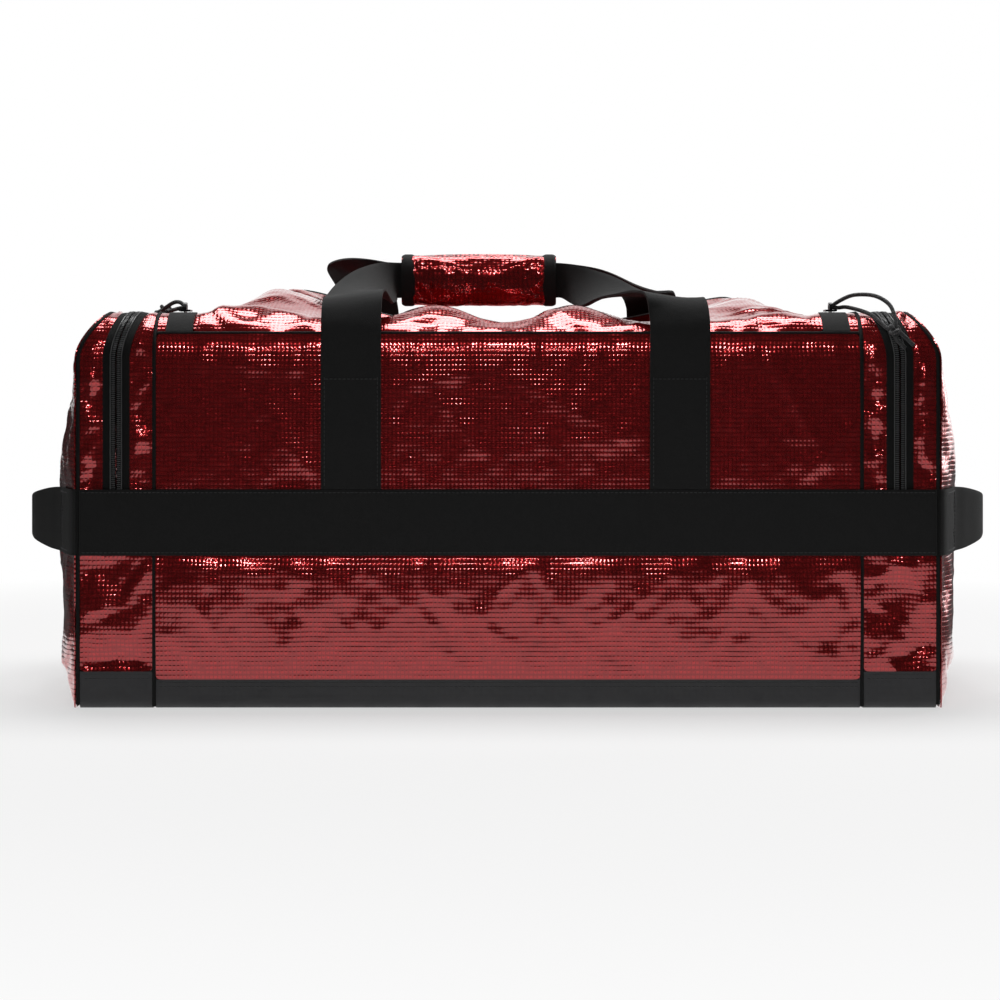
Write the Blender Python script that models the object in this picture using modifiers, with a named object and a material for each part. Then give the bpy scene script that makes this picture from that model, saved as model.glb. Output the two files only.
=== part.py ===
"""A hockey equipment bag: a long soft duffel with a zipped lid, zipped end pockets and webbing handles.

Metres, +Z up. X runs along the length, the front faces -Y, and the base stands on Z = 0.
"""

import math

import bmesh
import bpy
from mathutils import Matrix, Vector

# Driving dimensions.
MAIN_LENGTH = 0.708
POCKET_LENGTH = 0.076
DEPTH = 0.400
HEIGHT = 0.397
TOP_RADIUS = 0.045
LID_SEAM_DROP = 0.021
END_BULGE = 0.0425
END_CURVE = 2.0
END_SLUMP = 0.026
FABRIC = 0.002
BOARD = 0.004
GAP = 0.0003
BINDING = 0.0026
BELT_BOTTOM = 0.153
BELT_WIDTH = 0.066
WEBBING = 0.0025
STRAP_WIDTH = 0.060
STRAP_SPACING = 0.329
HANDLE_SHIFT = 0.0075
STITCH_HEIGHT = 0.338
SKIRT_HEIGHT = 0.029
END_SKIRT_HEIGHT = 0.037
ZIP_WIDTH = 0.027
ZIP_SLOT = 0.0018
COIL_WIDTH = 0.0035
COIL_HEIGHT = 0.0014
TAPE = 0.001
LID_ZIP_INSET = 0.024
LID_ZIP_SETBACK = 0.010
LEFT_HUMP = 0.036
RIGHT_HUMP = 0.028
LID_DIP = 0.009
LID_FOLD = 0.012
LOOP_REACH = 0.0358
LOOP_GRIP_WIDTH = 0.034
WRAP_LENGTH = 0.167
WRAP_SHIFT = -0.031
WRAP_HEIGHT = 0.054
WRAP_DEPTH = 0.036
WRAP_WALL = 0.0055
WRAP_LIFT = 0.041
GRIP_WIDTH = 0.038
SLIDER_LENGTH = 0.016
SLIDER_WIDTH = 0.012
SLIDER_PLATE = 0.0016
CORD = 0.0042

# Derived dimensions.
HALF_DEPTH = DEPTH / 2
SEAM_X = MAIN_LENGTH / 2
CORNER_X = SEAM_X + POCKET_LENGTH
SEAM_HALF = BINDING / 2 + GAP
END_BASE = CORNER_X + SEAM_HALF + 1.15 * FABRIC
SIDE_TOP = HEIGHT - TOP_RADIUS
FLAT_Y = HALF_DEPTH - TOP_RADIUS
ARC = math.pi / 2 * TOP_RADIUS
TOTAL = 2 * SIDE_TOP + 2 * ARC + 2 * FLAT_Y
SEAM_ANGLE = math.asin((TOP_RADIUS - LID_SEAM_DROP) / TOP_RADIUS)
LID_SEAM = SIDE_TOP + TOP_RADIUS * SEAM_ANGLE
BELT_TOP = BELT_BOTTOM + BELT_WIDTH
POCKET_ZIP_X = SEAM_X + POCKET_LENGTH / 2
LID_ZIP_X = SEAM_X - LID_ZIP_INSET
POCKET_IN = SEAM_X + SEAM_HALF
POCKET_OUT = CORNER_X - SEAM_HALF
LID_ZIP_END = SIDE_TOP + ARC + 2 * FLAT_Y - LID_ZIP_SETBACK
TAPE_HALF = ZIP_WIDTH / 2
BELT_FACE = HALF_DEPTH + BINDING / 2 - FABRIC / 2 + GAP
STRAP_FACE = HALF_DEPTH + GAP
STRAP_MID = STRAP_FACE + WEBBING / 2
WRAP_Z = HEIGHT + WRAP_LIFT
FRONT_GRIP_Y = -0.0032
REAR_GRIP_Y = FRONT_GRIP_Y + WEBBING + 0.0012
SLIDER_START = -FLAT_Y + SLIDER_LENGTH / 2
POCKET_SLIDER_Z = BELT_TOP + 0.012

RED = (0.38, 0.011, 0.013, 1.0)
BLACK = (0.018, 0.018, 0.020, 1.0)
BASE_GREY = (0.022, 0.022, 0.025, 1.0)
BOARD_GREY = (0.08, 0.08, 0.085, 1.0)

for old in list(bpy.data.objects):
    bpy.data.objects.remove(old, do_unlink=True)

PARTS = bpy.data.collections.new("hockey_equipment_bag")
CUTTERS = bpy.data.collections.new("cutters")
bpy.context.scene.collection.children.link(PARTS)
bpy.context.scene.collection.children.link(CUTTERS)


def material(name, colour, roughness):
    made = bpy.data.materials.new(name)
    made.use_nodes = True
    shader = made.node_tree.nodes["Principled BSDF"]
    shader.inputs["Base Color"].default_value = colour
    shader.inputs["Roughness"].default_value = roughness
    made.diffuse_color = colour
    return made


def add(name, data, colour, roughness=0.6):
    """Puts a sub-part in the bag's collection with a material of its own."""
    obj = bpy.data.objects.new(name, data)
    PARTS.objects.link(obj)
    data.materials.append(material(name, colour, roughness))
    return obj


def smooth(t):
    t = min(1.0, max(0.0, t))
    return t * t * (3 - 2 * t)


def outline(d):
    """Point and outward normal of the bag's end view, d metres from the front bottom edge up and over."""
    if d > TOTAL / 2:
        y, z, ny, nz = outline(TOTAL - d)
        return -y, z, -ny, nz
    if d <= SIDE_TOP:
        return -HALF_DEPTH, d, -1.0, 0.0
    if d <= SIDE_TOP + ARC:
        angle = (d - SIDE_TOP) / TOP_RADIUS
        ny, nz = -math.cos(angle), math.sin(angle)
        return -FLAT_Y + TOP_RADIUS * ny, SIDE_TOP + TOP_RADIUS * nz, ny, nz
    return -FLAT_Y + (d - SIDE_TOP - ARC), HEIGHT, 0.0, 1.0


def stations(start, end, step=0.05):
    """Distances along the outline, closer together round its corners."""
    marks = [start, end]
    for first in (SIDE_TOP, TOTAL - SIDE_TOP - ARC):
        marks += [first + ARC * k / 4 for k in range(5)]
    marks = sorted({round(m, 6) for m in marks if start <= m <= end})
    found = [marks[0]]
    for mark in marks[1:]:
        count = max(1, round((mark - found[-1]) / step))
        first = found[-1]
        found += [first + (mark - first) * k / count for k in range(1, count + 1)]
    return found


def hump(x, d):
    """Height that the slack lid and the top of the back panel stand above the outline."""
    left = (x + 0.31 * MAIN_LENGTH) / (0.12 * MAIN_LENGTH)
    right = (x - 0.345 * MAIN_LENGTH) / (0.127 * MAIN_LENGTH)
    dip = x / (0.13 * MAIN_LENGTH)
    lift = LEFT_HUMP * math.exp(-left * left)
    lift += RIGHT_HUMP * math.exp(-right * right)
    lift -= LID_DIP * math.exp(-dip * dip)
    edge = LID_ZIP_X - TAPE_HALF
    lift *= smooth((edge - abs(x)) / (0.22 * edge))
    rise = smooth((d - LID_SEAM) / (0.45 * DEPTH))
    fall = smooth((TOTAL - SIDE_TOP - d) / (1.1 * ARC))
    return lift * rise * fall + fold(x, d - LID_SEAM)


def fold(x, back):
    """Two soft folds along the lid's front, with a notch between them below the handles."""
    left = (x + 0.092 * MAIN_LENGTH) / (0.071 * MAIN_LENGTH)
    right = (x - 0.099 * MAIN_LENGTH) / (0.064 * MAIN_LENGTH)
    lift = LID_FOLD * (math.exp(-left * left) + 1.1 * math.exp(-right * right))
    return lift * smooth(back / (0.17 * DEPTH)) * (1 - smooth((back - 0.25 * DEPTH) / (0.5 * DEPTH)))


def slump(x, nz):
    """x moved inwards where the soft ends sink at the top; nz is the upward share of the skin's normal."""
    inner = (abs(x) - POCKET_IN) / (POCKET_ZIP_X - TAPE_HALF - GAP - POCKET_IN)
    outer = (abs(x) - POCKET_ZIP_X - TAPE_HALF - GAP) / (POCKET_OUT - POCKET_ZIP_X - TAPE_HALF - GAP)
    share = min(1.0, max(0.0, inner)) + min(1.0, max(0.0, outer))
    return x - math.copysign(END_SLUMP / 2 * share * nz**1.5, x)


def surface(x, d, out=0.0):
    """A point of the bag's outer skin at x along it and d round it, moved out along the normal."""
    y, z, ny, nz = outline(d)
    return Vector((slump(x, nz), y + out * ny, z + out * nz + hump(x, d)))


def grid(name, rows, thickness, colour, roughness=0.6, offset=-1.0, outward=None):
    """An open sheet through rows of points, given its thickness on the inner side."""
    mesh = bpy.data.meshes.new(name)
    wide = len(rows[0])
    points = [p for row in rows for p in row]
    faces = []
    for i in range(len(rows) - 1):
        for j in range(wide - 1):
            a = i * wide + j
            faces.append((a, a + 1, a + wide + 1, a + wide))
    mesh.from_pydata([tuple(p) for p in points], [], faces)
    mesh.update()
    middle = mesh.polygons[len(mesh.polygons) // 2]
    if outward is not None and middle.normal.dot(Vector(outward)) < 0:
        mesh.flip_normals()
    obj = add(name, mesh, colour, roughness)
    shell = obj.modifiers.new("cloth", "SOLIDIFY")
    shell.thickness = thickness
    shell.offset = offset
    shell.use_even_offset = True
    return obj


def loft(name, sections, colour, roughness=0.6):
    """A closed body through a row of like sections, with flat ends."""
    size = len(sections[0])
    shape = bmesh.new()
    rings = [[shape.verts.new(p) for p in section] for section in sections]
    for first, second in zip(rings, rings[1:]):
        for k in range(size):
            m = (k + 1) % size
            shape.faces.new((first[k], first[m], second[m], second[k]))
    shape.faces.new(rings[0][::-1])
    shape.faces.new(rings[-1])
    bmesh.ops.recalc_face_normals(shape, faces=shape.faces)
    mesh = bpy.data.meshes.new(name)
    shape.to_mesh(mesh)
    shape.free()
    return add(name, mesh, colour, roughness)


def band(name, start, end, x0, x1, colour, out=0.0, thick=FABRIC, roughness=0.6):
    """A strip of the outline from start to end, running in X from x0 to x1."""
    low, high = min(x0, x1), max(x0, x1)
    sections = []
    for d in stations(start, end, 0.2):
        y, z, ny, nz = outline(d)
        top = out + thick
        sections.append(
            [
                (slump(low, nz), y + out * ny, z + out * nz),
                (slump(high, nz), y + out * ny, z + out * nz),
                (slump(high, nz), y + top * ny, z + top * nz),
                (slump(low, nz), y + top * ny, z + top * nz),
            ]
        )
    return loft(name, sections, colour, roughness)


def box(name, low, high, colour, roughness=0.6):
    mesh = bpy.data.meshes.new(name)
    shape = bmesh.new()
    bmesh.ops.create_cube(shape, size=1.0)
    low, high = Vector(low), Vector(high)
    centre, size = (low + high) / 2, high - low
    bmesh.ops.scale(shape, vec=size, verts=shape.verts)
    bmesh.ops.translate(shape, vec=centre, verts=shape.verts)
    shape.to_mesh(mesh)
    shape.free()
    return add(name, mesh, colour, roughness)


def tube(name, points, thickness, colour, roughness=0.6, resolution=1):
    """A round cord or bound seam along a row of points."""
    curve = bpy.data.curves.new(name, "CURVE")
    curve.dimensions = "3D"
    curve.bevel_depth = thickness / 2
    curve.bevel_resolution = resolution
    curve.use_fill_caps = True
    spline = curve.splines.new("POLY")
    spline.points.add(len(points) - 1)
    for point, place in zip(spline.points, points):
        point.co = (*place[:3], 1.0)
        point.radius = place[3] if len(place) > 3 else 1.0
    return add(name, curve, colour, roughness)


def through(keys, steps):
    """A smooth row of values through the keys, each a tuple of numbers."""
    found = []
    for i in range(len(keys) - 1):
        before = keys[max(i - 1, 0)]
        a, b = keys[i], keys[i + 1]
        after = keys[min(i + 2, len(keys) - 1)]
        for k in range(steps):
            t = k / steps
            row = []
            for p, q, r, s in zip(before, a, b, after):
                cubic = 2 * q + (r - p) * t
                cubic += (2 * p - 5 * q + 4 * r - s) * t * t
                cubic += (3 * q - p - 3 * r + s) * t * t * t
                row.append(cubic / 2)
            found.append(tuple(row))
    found.append(tuple(keys[-1]))
    return found


def ribbon(name, keys, steps, colour):
    """Flat webbing through keys of centre, across direction and width."""
    rows = through(keys, steps)
    centres = [Vector(row[:3]) for row in rows]
    sections = []
    for i, row in enumerate(rows):
        along = centres[min(i + 1, len(rows) - 1)] - centres[max(i - 1, 0)]
        across = Vector(row[3:6])
        along.normalize()
        across = (across - along * across.dot(along)).normalized()
        normal = along.cross(across)
        side, thick = across * row[6] / 2, normal * WEBBING / 2
        c = centres[i]
        corners = (c - side - thick, c + side - thick, c + side + thick, c - side + thick)
        sections.append([tuple(p) for p in corners])
    return loft(name, sections, colour, 0.8)


def zip_half(name, stops, colour=BLACK):
    """One tape of a zip with its coil along the inner edge: stops give inner point, outer point and normal."""
    sections = []
    for inner, outer, normal in stops:
        across = (outer - inner).normalized()
        coil = inner + across * COIL_WIDTH
        sections.append(
            [
                tuple(outer),
                tuple(coil),
                tuple(coil + normal * COIL_HEIGHT),
                tuple(inner + normal * COIL_HEIGHT),
                tuple(inner - normal * (TAPE + COIL_HEIGHT / 2)),
                tuple(coil - normal * (TAPE + COIL_HEIGHT / 2)),
                tuple(coil - normal * TAPE),
                tuple(outer - normal * TAPE),
            ]
        )
    return loft(name, sections, colour, 0.7)


def skin_normal(d):
    _, _, ny, nz = outline(d)
    return Vector((0.0, ny, nz))


def slider(name, place, along, normal):
    """A zip slider: two plates joined through the slot by a web, and an eye for its pull."""
    along, normal = Vector(along), Vector(normal)
    across = normal.cross(along)
    low = -(TAPE + COIL_HEIGHT / 2 + 2 * GAP)
    high = COIL_HEIGHT + 2 * GAP
    web = ZIP_SLOT / 2 - GAP
    half = SLIDER_WIDTH / 2
    profile = [
        (-half, low - SLIDER_PLATE),
        (half, low - SLIDER_PLATE),
        (half, low),
        (web, low),
        (web, high),
        (half, high),
        (half, high + SLIDER_PLATE),
        (-half, high + SLIDER_PLATE),
        (-half, high),
        (-web, high),
        (-web, low),
        (-half, low),
    ]
    place = Vector(place)
    sections = []
    for end in (-SLIDER_LENGTH / 2, SLIDER_LENGTH / 2):
        ring = [place + along * end + across * v + normal * n for v, n in profile]
        sections.append([tuple(p) for p in ring])
    body = loft(name, sections, BLACK, 0.35)
    eye_high = CORD + 0.0042
    shape = bmesh.new()
    outer = CORD * 1.15
    steps = 12
    base = high + SLIDER_PLATE - 0.0006
    centre = base + 0.0006 + CORD * 0.62
    rim = []
    for k in range(steps + 1):
        angle = math.pi * k / steps
        rim.append((outer * math.cos(angle), centre + outer * math.sin(angle)))
    rim += [(-outer, base), (outer, base)]
    thick = CORD * 0.4
    rings = []
    for side in (-thick, thick):
        ring = [place + along * u + normal * n + across * side for u, n in rim]
        rings.append([shape.verts.new(p) for p in ring])
    size = len(rim)
    for k in range(size):
        m = (k + 1) % size
        shape.faces.new((rings[0][k], rings[0][m], rings[1][m], rings[1][k]))
    shape.faces.new(rings[0][::-1])
    shape.faces.new(rings[1])
    bmesh.ops.recalc_face_normals(shape, faces=shape.faces)
    mesh = bpy.data.meshes.new(name + "_eye")
    shape.to_mesh(mesh)
    shape.free()
    eye = bpy.data.objects.new(name + "_eye", mesh)
    hole = bmesh.new()
    bmesh.ops.create_cone(
        hole,
        cap_ends=True,
        segments=16,
        radius1=CORD * 0.62,
        radius2=CORD * 0.62,
        depth=eye_high * 2,
    )
    turn = Matrix((along, normal, -across)).transposed().to_4x4()
    spot = Matrix.Translation(place + normal * centre) @ turn
    bmesh.ops.transform(hole, matrix=spot, verts=hole.verts)
    hole_mesh = bpy.data.meshes.new(name + "_hole")
    bmesh.ops.recalc_face_normals(hole, faces=hole.faces)
    hole.to_mesh(hole_mesh)
    hole.free()
    cutter = bpy.data.objects.new(name + "_hole", hole_mesh)
    for helper in (eye, cutter):
        CUTTERS.objects.link(helper)
        helper.hide_render = True
        helper.display_type = "WIRE"
    join = body.modifiers.new("eye", "BOOLEAN")
    join.operation = "UNION"
    join.solver = "EXACT"
    join.object = eye
    cut = body.modifiers.new("eye_hole", "BOOLEAN")
    cut.operation = "DIFFERENCE"
    cut.solver = "EXACT"
    cut.object = cutter
    return place + normal * centre


def dome(name, side, upper, colour):
    """The bulging end panel of a pocket, above or below the belt's top edge."""
    ring = []
    for d in stations(0.0, TOTAL, 0.07):
        y, z, _, nz = outline(d)
        ring.append((y, z, END_SLUMP * nz**1.5))
    floor = [(HALF_DEPTH - DEPTH * k / 6, 0.0, 0.0) for k in range(1, 6)]
    ring += floor
    centre = (0.0, 0.42 * HEIGHT)
    base = END_BASE
    scales = (1.0, 0.94, 0.86, 0.75, 0.6, 0.4, 0.2)
    shape = bmesh.new()
    rings = []
    for s in scales:
        x = base + END_BULGE * (1 - s**END_CURVE)
        row = []
        for y, z, sunk in ring:
            reach = side * (x - sunk * s * s)
            row.append(shape.verts.new((reach, y * s, centre[1] + (z - centre[1]) * s)))
        rings.append(row)
    tip = shape.verts.new((side * (base + END_BULGE), *centre))
    size = len(ring)
    for first, second in zip(rings, rings[1:]):
        for k in range(size):
            m = (k + 1) % size
            shape.faces.new((first[k], first[m], second[m], second[k]))
    for k in range(size):
        shape.faces.new((rings[-1][k], rings[-1][(k + 1) % size], tip))
    cut = BELT_TOP + GAP if upper else BELT_TOP - GAP
    bmesh.ops.bisect_plane(
        shape,
        geom=shape.verts[:] + shape.edges[:] + shape.faces[:],
        dist=1e-6,
        plane_co=(0, 0, cut),
        plane_no=(0, 0, 1),
        clear_inner=upper,
        clear_outer=not upper,
    )
    bmesh.ops.recalc_face_normals(shape, faces=shape.faces)
    mesh = bpy.data.meshes.new(name)
    shape.to_mesh(mesh)
    shape.free()
    widest = max(mesh.polygons, key=lambda p: abs(p.center.x))
    if widest.normal.x * side < 0:
        mesh.flip_normals()
    obj = add(name, mesh, colour, 0.4)
    shell = obj.modifiers.new("cloth", "SOLIDIFY")
    shell.thickness = FABRIC
    shell.offset = -1.0
    return obj


def end_reach(y):
    """How far out the end panel stands at the belt's height, y from the bag's middle."""
    s = min(1.0, abs(y) / HALF_DEPTH)
    return END_BASE + END_BULGE * (1 - s**END_CURVE)


def spread(low, high, count):
    return [low + (high - low) * k / count for k in range(count + 1)]


# Base, board, and the black skirts that the base turns up into.
main_x = SEAM_X - SEAM_HALF
inner_y = HALF_DEPTH - FABRIC - GAP
box("base_panel", (-main_x, -inner_y, 0), (main_x, inner_y, FABRIC), BASE_GREY)
board_x = SEAM_X - FABRIC / 2 - 0.004
board_y = inner_y - 0.003
board_low = FABRIC + GAP
box(
    "base_board",
    (-board_x, -board_y, board_low),
    (board_x, board_y, board_low + BOARD),
    BOARD_GREY,
)
for end, sign in (("front", 1), ("back", -1)):
    d0, d1 = (0.0, SKIRT_HEIGHT) if sign > 0 else (TOTAL - SKIRT_HEIGHT, TOTAL)
    band(f"{end}_skirt", d0, d1, -main_x, main_x, BASE_GREY, -FABRIC)
for end, side in (("left", -1), ("right", 1)):
    wall = [
        (-HALF_DEPTH, 0.0),
        (HALF_DEPTH, 0.0),
        (HALF_DEPTH, END_SKIRT_HEIGHT),
        (HALF_DEPTH - FABRIC, END_SKIRT_HEIGHT),
        (HALF_DEPTH - FABRIC, FABRIC),
        (-HALF_DEPTH + FABRIC, FABRIC),
        (-HALF_DEPTH + FABRIC, END_SKIRT_HEIGHT),
        (-HALF_DEPTH, END_SKIRT_HEIGHT),
    ]
    sections = [[(side * x, y, z) for y, z in wall] for x in (POCKET_IN, POCKET_OUT)]
    loft(f"{end}_pocket_base", sections, BASE_GREY)

# Main compartment: front, back, dividers and the strips beside the lid zip.
seam_front = LID_SEAM - SEAM_HALF
band("front_panel", SKIRT_HEIGHT + GAP, seam_front, -main_x, main_x, RED, -FABRIC, roughness=0.4)
wave = spread(-LID_ZIP_X + 0.03, LID_ZIP_X - 0.03, 26)
columns = [-main_x] + wave + [main_x]
back_start = LID_ZIP_END + TAPE_HALF + 2 * GAP
back_rows = stations(back_start, TOTAL - SKIRT_HEIGHT - GAP, 0.11)
grid(
    "back_panel",
    [[surface(x, d) for x in columns] for d in back_rows],
    FABRIC,
    RED,
    0.4,
    outward=(0, 1, 0),
)
for end, side in (("left", -1), ("right", 1)):
    inset = FABRIC + GAP
    ring = []
    for d in stations(0.0, TOTAL, 0.2):
        y, z, ny, nz = outline(d)
        ring.append((y - inset * ny, z - inset * nz))
    ring = [(y, max(z, FABRIC + GAP)) for y, z in ring]
    thick = FABRIC / 2
    sections = [[(side * SEAM_X + t, y, z) for y, z in ring] for t in (-thick, thick)]
    loft(f"{end}_divider", sections, RED, 0.5)
    strip_in = LID_ZIP_X + TAPE_HALF + GAP
    band(
        f"{end}_top_strip",
        LID_SEAM + SEAM_HALF,
        back_start - 2 * GAP,
        side * strip_in,
        side * main_x,
        RED,
        -FABRIC,
        roughness=0.4,
    )

# Lid, with its slack humps and the dip under the handles.
lid_x = LID_ZIP_X - TAPE_HALF - GAP
lid_rows = stations(LID_SEAM + SEAM_HALF, LID_ZIP_END - TAPE_HALF - 2 * GAP, 0.028)
lid_columns = [-lid_x] + wave + [lid_x]
grid(
    "lid_panel",
    [[surface(x, d) for x in lid_columns] for d in lid_rows],
    FABRIC,
    RED,
    0.4,
    outward=(0, 0, 1),
)

# Lid zip: both halves run up the left side, along the rear and down the right side.
zip_start = LID_SEAM + SEAM_HALF
lid_half_start = SIDE_TOP + ARC + FLAT_Y + SLIDER_START + SLIDER_LENGTH / 2 + 0.004
garage_end = SIDE_TOP + ARC + FLAT_Y + SLIDER_START - SLIDER_LENGTH / 2 - 0.003


def lid_zip(name, near, far, start, garage):
    """Tape between two distances from the zip's middle line; garage closes the front ends right across."""
    run = [d for d in stations(start, LID_ZIP_END - 0.03, 0.09)]
    if garage:
        run = sorted(set(run + [garage_end, garage_end + 0.0005]))
    stops = []
    for d in run:
        inner = -TAPE_HALF if garage and d <= garage_end else near
        stops.append((-LID_ZIP_X, d, inner, far, 0.0, -1.0))
    stops.append((-LID_ZIP_X, LID_ZIP_END, near, far, 1.0, -1.0))
    for x in wave:
        stops.append((x, LID_ZIP_END, near, far, 1.0, 0.0))
    for stop in stops[len(run) :: -1]:
        x, d, inner, outer, up, over = stop
        stops.append((-x, d, inner, outer, up, -over))
    made = []
    for x, d, inner, outer, up, over in stops:
        place = surface(x + over * inner, d + up * inner)
        edge = surface(x + over * outer, d + up * outer)
        made.append((place, edge, skin_normal(min(d, LID_ZIP_END))))
    return zip_half(name, made)


slot = ZIP_SLOT / 2
lid_zip("lid_zip_outer_tape", slot, TAPE_HALF, zip_start, True)
lid_zip("lid_zip_lid_tape", -slot, -TAPE_HALF, lid_half_start, False)

# End pockets, their flaps and zips.
for end, side in (("left", -1), ("right", 1)):
    zip_in = POCKET_ZIP_X - TAPE_HALF
    zip_out = POCKET_ZIP_X + TAPE_HALF
    low, high = END_SKIRT_HEIGHT + GAP, BELT_TOP - GAP
    x0, x1 = side * POCKET_IN, side * POCKET_OUT
    band(f"{end}_front_gusset", low, high, x0, x1, RED, -FABRIC, roughness=0.4)
    band(f"{end}_back_gusset", TOTAL - high, TOTAL - low, x0, x1, RED, -FABRIC, roughness=0.4)
    rise = BELT_TOP + GAP
    x2, x3 = side * (zip_in - GAP), side * (zip_out + GAP)
    band(f"{end}_pocket_arch", rise, TOTAL - rise, x0, x2, RED, -FABRIC, roughness=0.4)
    band(f"{end}_flap_arch", rise, TOTAL - rise, x3, x1, RED, -FABRIC, roughness=0.4)
    dome(f"{end}_end_panel", side, False, RED)
    dome(f"{end}_flap_panel", side, True, RED)
    fixed, moving = [], []
    for d in stations(rise, TOTAL - rise, 0.2):
        normal = skin_normal(d)
        edges = [surface(side * x, d) for x in (zip_in, POCKET_ZIP_X - slot)]
        fixed.append((edges[1], edges[0], normal))
    flap_end = TOTAL - POCKET_SLIDER_Z - SLIDER_LENGTH / 2 - 0.004
    for d in stations(rise, flap_end, 0.2):
        normal = skin_normal(d)
        edges = [surface(side * x, d) for x in (zip_out, POCKET_ZIP_X + slot)]
        moving.append((edges[1], edges[0], normal))
    zip_half(f"{end}_pocket_zip_tape", fixed)
    zip_half(f"{end}_flap_zip_tape", moving)

# Bound seams.
middle = -FABRIC / 2
hinge = surface(0, LID_SEAM, middle)
tube("lid_seam_binding", [(-main_x, hinge.y, hinge.z), (main_x, hinge.y, hinge.z)], BINDING, BLACK)
for end, side in (("left", -1), ("right", 1)):
    seam = [surface(side * SEAM_X, d, middle) for d in stations(BINDING / 2, TOTAL - BINDING / 2, 0.3)]
    tube(f"{end}_seam_binding", seam, BINDING, BLACK)
    high = BELT_TOP - GAP
    corner = [surface(side * CORNER_X, d, middle) for d in (high, BINDING / 2 + FABRIC)]
    corner += [Vector((p.x, -p.y, p.z)) for p in corner[::-1]]
    tube(f"{end}_corner_binding", corner, BINDING, BLACK)
    rise = BELT_TOP + GAP
    flap = [surface(side * CORNER_X, d, middle) for d in stations(rise, TOTAL - rise, 0.3)]
    tube(f"{end}_flap_binding", flap, BINDING, BLACK)

# Belt and the straps sewn up the panels.
belt_x = CORNER_X - SEAM_HALF
for end, sign in (("front", -1), ("back", 1)):
    y0, y1 = sorted((sign * BELT_FACE, sign * (BELT_FACE + WEBBING)))
    box(f"{end}_belt", (-belt_x, y0, BELT_BOTTOM), (belt_x, y1, BELT_TOP), BLACK, 0.8)
    for hand, side in (("left", -1), ("right", 1)):
        x = HANDLE_SHIFT + side * STRAP_SPACING / 2
        y0, y1 = sorted((sign * STRAP_FACE, sign * (STRAP_FACE + WEBBING)))
        box(
            f"{end}_{hand}_strap",
            (x - STRAP_WIDTH / 2, y0, BELT_TOP + GAP),
            (x + STRAP_WIDTH / 2, y1, STITCH_HEIGHT - GAP),
            BLACK,
            0.8,
        )

# Grab handles carry the belt round the ends and stand off them in a loop.
for end, side in (("left", -1), ("right", 1)):
    lift = WEBBING / 2 + 0.0012
    tip = END_BASE + END_BULGE + LOOP_REACH
    mid = BELT_BOTTOM + BELT_WIDTH / 2
    half = []
    for share in (0.965, 0.90, 0.80, 0.67):
        y = share * HALF_DEPTH
        half.append((end_reach(y) + lift, y, BELT_WIDTH))
    foot = half[-1][0]
    half.append((foot + 0.34 * (tip - foot), 0.54 * HALF_DEPTH, 0.93 * BELT_WIDTH))
    half.append((foot + 0.76 * (tip - foot), 0.36 * HALF_DEPTH, 0.74 * BELT_WIDTH))
    half.append((foot + 0.97 * (tip - foot), 0.15 * HALF_DEPTH, LOOP_GRIP_WIDTH))
    keys = [(side * x, -y, mid, 0, 0, 1, w) for x, y, w in half]
    keys.append((side * tip, 0.0, mid, 0, 0, 1, LOOP_GRIP_WIDTH))
    keys += [(side * x, y, mid, 0, 0, 1, w) for x, y, w in half[::-1]]
    ribbon(f"{end}_grab_handle", keys, 2, BLACK)

# Carry handles: each strap leaves the panel at its last stitch, arches over the lid, turns on edge
# and runs through the padded wrap to the other side.
wrap_x0 = WRAP_SHIFT - WRAP_LENGTH / 2
wrap_x1 = WRAP_SHIFT + WRAP_LENGTH / 2
arch = HEIGHT - STITCH_HEIGHT


def handle(name, sign, grip_y, left, right):
    """left, right: rows of share of the way in Y, share in X, height, tilt of the webbing and width."""
    keys = []
    for side, mouth, rises in ((-1, wrap_x0, left), (1, wrap_x1, right)):
        x = HANDLE_SHIFT + side * STRAP_SPACING / 2
        rows = []
        for share, across, z, tilt, width in rises:
            y = sign * STRAP_MID + share * (grip_y - sign * STRAP_MID)
            over = (-side * math.cos(tilt), 0.0, -math.sin(tilt))
            spot = x + across * (mouth + side * 0.004 - x)
            rows.append((spot, y, z, *over, width * STRAP_WIDTH))
        turn = (0.0, 0.0, -1.0)
        rows.append((mouth - side * 0.004, grip_y, WRAP_Z, *turn, GRIP_WIDTH))
        rows.append((mouth - side * 0.010, grip_y, WRAP_Z, *turn, GRIP_WIDTH))
        rows.append((mouth - side * 0.040, grip_y, WRAP_Z, *turn, GRIP_WIDTH))
        keys.append(rows)
    ribbon(name, keys[0] + keys[1][::-1], 3, BLACK)


start = STITCH_HEIGHT + GAP
grip = GRIP_WIDTH / STRAP_WIDTH
front_foot = (
    (0.0, 0.0, start, 0.0, 1.0),
    (0.0, 0.0, start + 0.45 * arch, 0.0, 1.0),
    (0.012, 0.0, start + 0.85 * arch, 0.0, 1.0),
)
front_left = (
    (0.07, 0.02, HEIGHT + 0.0130, -0.10, 1.0),
    (0.20, 0.08, HEIGHT + 0.0205, -0.10, 1.0),
    (0.42, 0.20, HEIGHT + 0.0245, 0.25, 0.95),
    (0.66, 0.44, HEIGHT + 0.0310, 0.75, 0.86),
    (0.88, 0.72, HEIGHT + 0.0380, 1.15, 0.74),
    (0.985, 0.92, WRAP_Z, 1.5, grip),
)
front_right = (
    (0.07, 0.03, HEIGHT + 0.0120, -0.12, 1.0),
    (0.20, 0.12, HEIGHT + 0.0170, -0.16, 1.0),
    (0.40, 0.28, HEIGHT + 0.0190, -0.06, 0.97),
    (0.62, 0.50, HEIGHT + 0.0225, 0.16, 0.86),
    (0.84, 0.74, HEIGHT + 0.0300, 0.90, 0.74),
    (0.975, 0.93, HEIGHT + 0.0395, 1.45, grip),
)
handle("front_handle_strap", -1, FRONT_GRIP_Y, front_foot + front_left, front_foot + front_right)
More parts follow.
